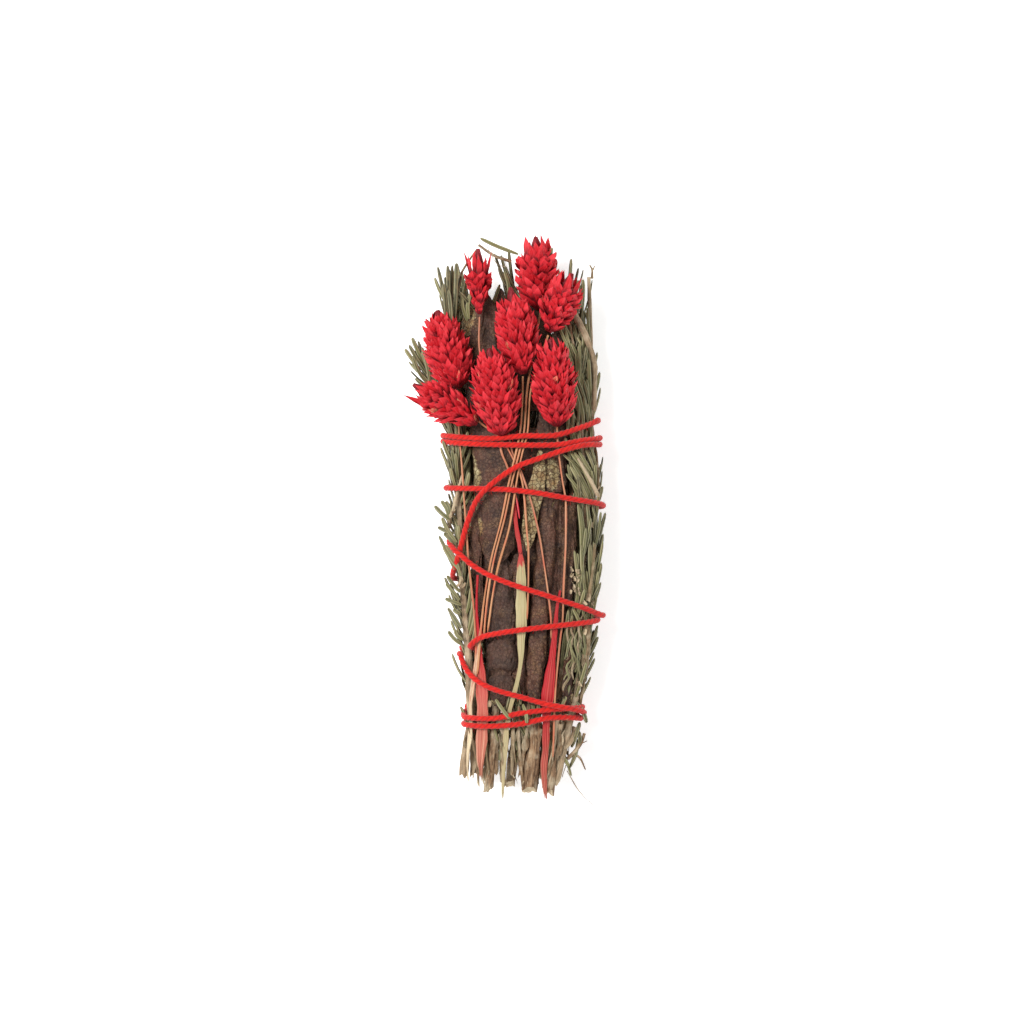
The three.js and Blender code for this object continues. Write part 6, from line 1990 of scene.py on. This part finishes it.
make_string()
for stem in STEMS:
    make_stem(stem)
for sheath in SHEATHS:
    make_sheath(sheath)
for number, leaf in enumerate(LEAVES):
    make_leaf(leaf, 1.3 + number)
make_leaf_scraps()
make_under_leaf()
for head in HEADS:
    make_head(head)
make_fans()
make_curled_needles()
make_free_needles()
make_twigs()
keep_wood_bare()
make_base_twigs()
make_base_shreds()
make_base_needles()
make_flakes()
for sprig in SPRIGS:
    wood = sprig_curve(sprig)
    take(solid_room, wood.spaced(math.ceil(wood.length)), WOOD_ROOM)
for sprig in SPRIGS:
    make_sprig(sprig)


# Floor, light and camera

FLOOR_GLOW = 0.5  # keeps the floor white right up to the stick, as on a lit table
FLOOR_HALF = 2.5
ROOM_GLOW = 0.5
LIGHT_TARGET = (0, 0, 0.02)


def add_floor():
    material = new_material("pale_floor", 0.9, specular=0.1)
    paint = Paint(material)
    grain = paint.noise(paint.whole(0.02), detail=2.0)
    paint.colour(paint.mix(grain, rgb("FBFBFA"), rgb("FFFFFF")))
    paint.put(paint.surface.inputs["Emission Color"], (1.0, 1.0, 1.0, 1.0))
    paint.put(paint.surface.inputs["Emission Strength"], FLOOR_GLOW)
    mesh = bpy.data.meshes.new("floor")
    half = FLOOR_HALF
    corners = [(-half, -half, 0), (half, -half, 0), (half, half, 0), (-half, half, 0)]
    mesh.from_pydata(corners, [], [(0, 1, 2, 3)])
    mesh.materials.append(material)
    floor = bpy.data.objects.new("floor", mesh)
    bpy.context.scene.collection.objects.link(floor)


def add_area_light(name, place, size, power):
    lamp = bpy.data.lights.new(name, "AREA")
    lamp.shape = "DISK"
    lamp.size = size
    lamp.energy = power
    light = bpy.data.objects.new(name, lamp)
    light.location = place
    light.rotation_euler = (Vector(LIGHT_TARGET) - Vector(place)).to_track_quat("-Z", "Y").to_euler()
    bpy.context.scene.collection.objects.link(light)


def add_world():
    world = bpy.data.worlds.new("soft_room")
    world.use_nodes = True
    background = world.node_tree.nodes["Background"]
    background.inputs["Color"].default_value = (1.0, 1.0, 1.0, 1.0)
    background.inputs["Strength"].default_value = ROOM_GLOW
    bpy.context.scene.world = world


FRAME_WIDTH = 341.3  # millimetres across the picture at the middle of the stick's height
CAMERA_DISTANCE = 1200.0
CAMERA_TARGET = (2.0, 2.0, 25.0)
SENSOR_WIDTH = 36.0


def add_camera():
    target = (np.array(CAMERA_TARGET) + FRAME_SHIFT) * MM
    lens = bpy.data.cameras.new("camera")
    lens.sensor_width = SENSOR_WIDTH
    lens.lens = SENSOR_WIDTH * CAMERA_DISTANCE / FRAME_WIDTH
    lens.clip_end = 10
    camera = bpy.data.objects.new("camera", lens)
    camera.location = target + np.array([0, 0, CAMERA_DISTANCE * MM])
    bpy.context.scene.collection.objects.link(camera)
    bpy.context.scene.camera = camera


add_floor()
add_area_light("key", (-0.66, 0.35, 1.38), size=0.6, power=24)
add_area_light("fill", (0.9, -0.6, 1.2), size=1.4, power=4)
add_world()
add_camera()
bpy.context.scene.view_settings.view_transform = "Standard"
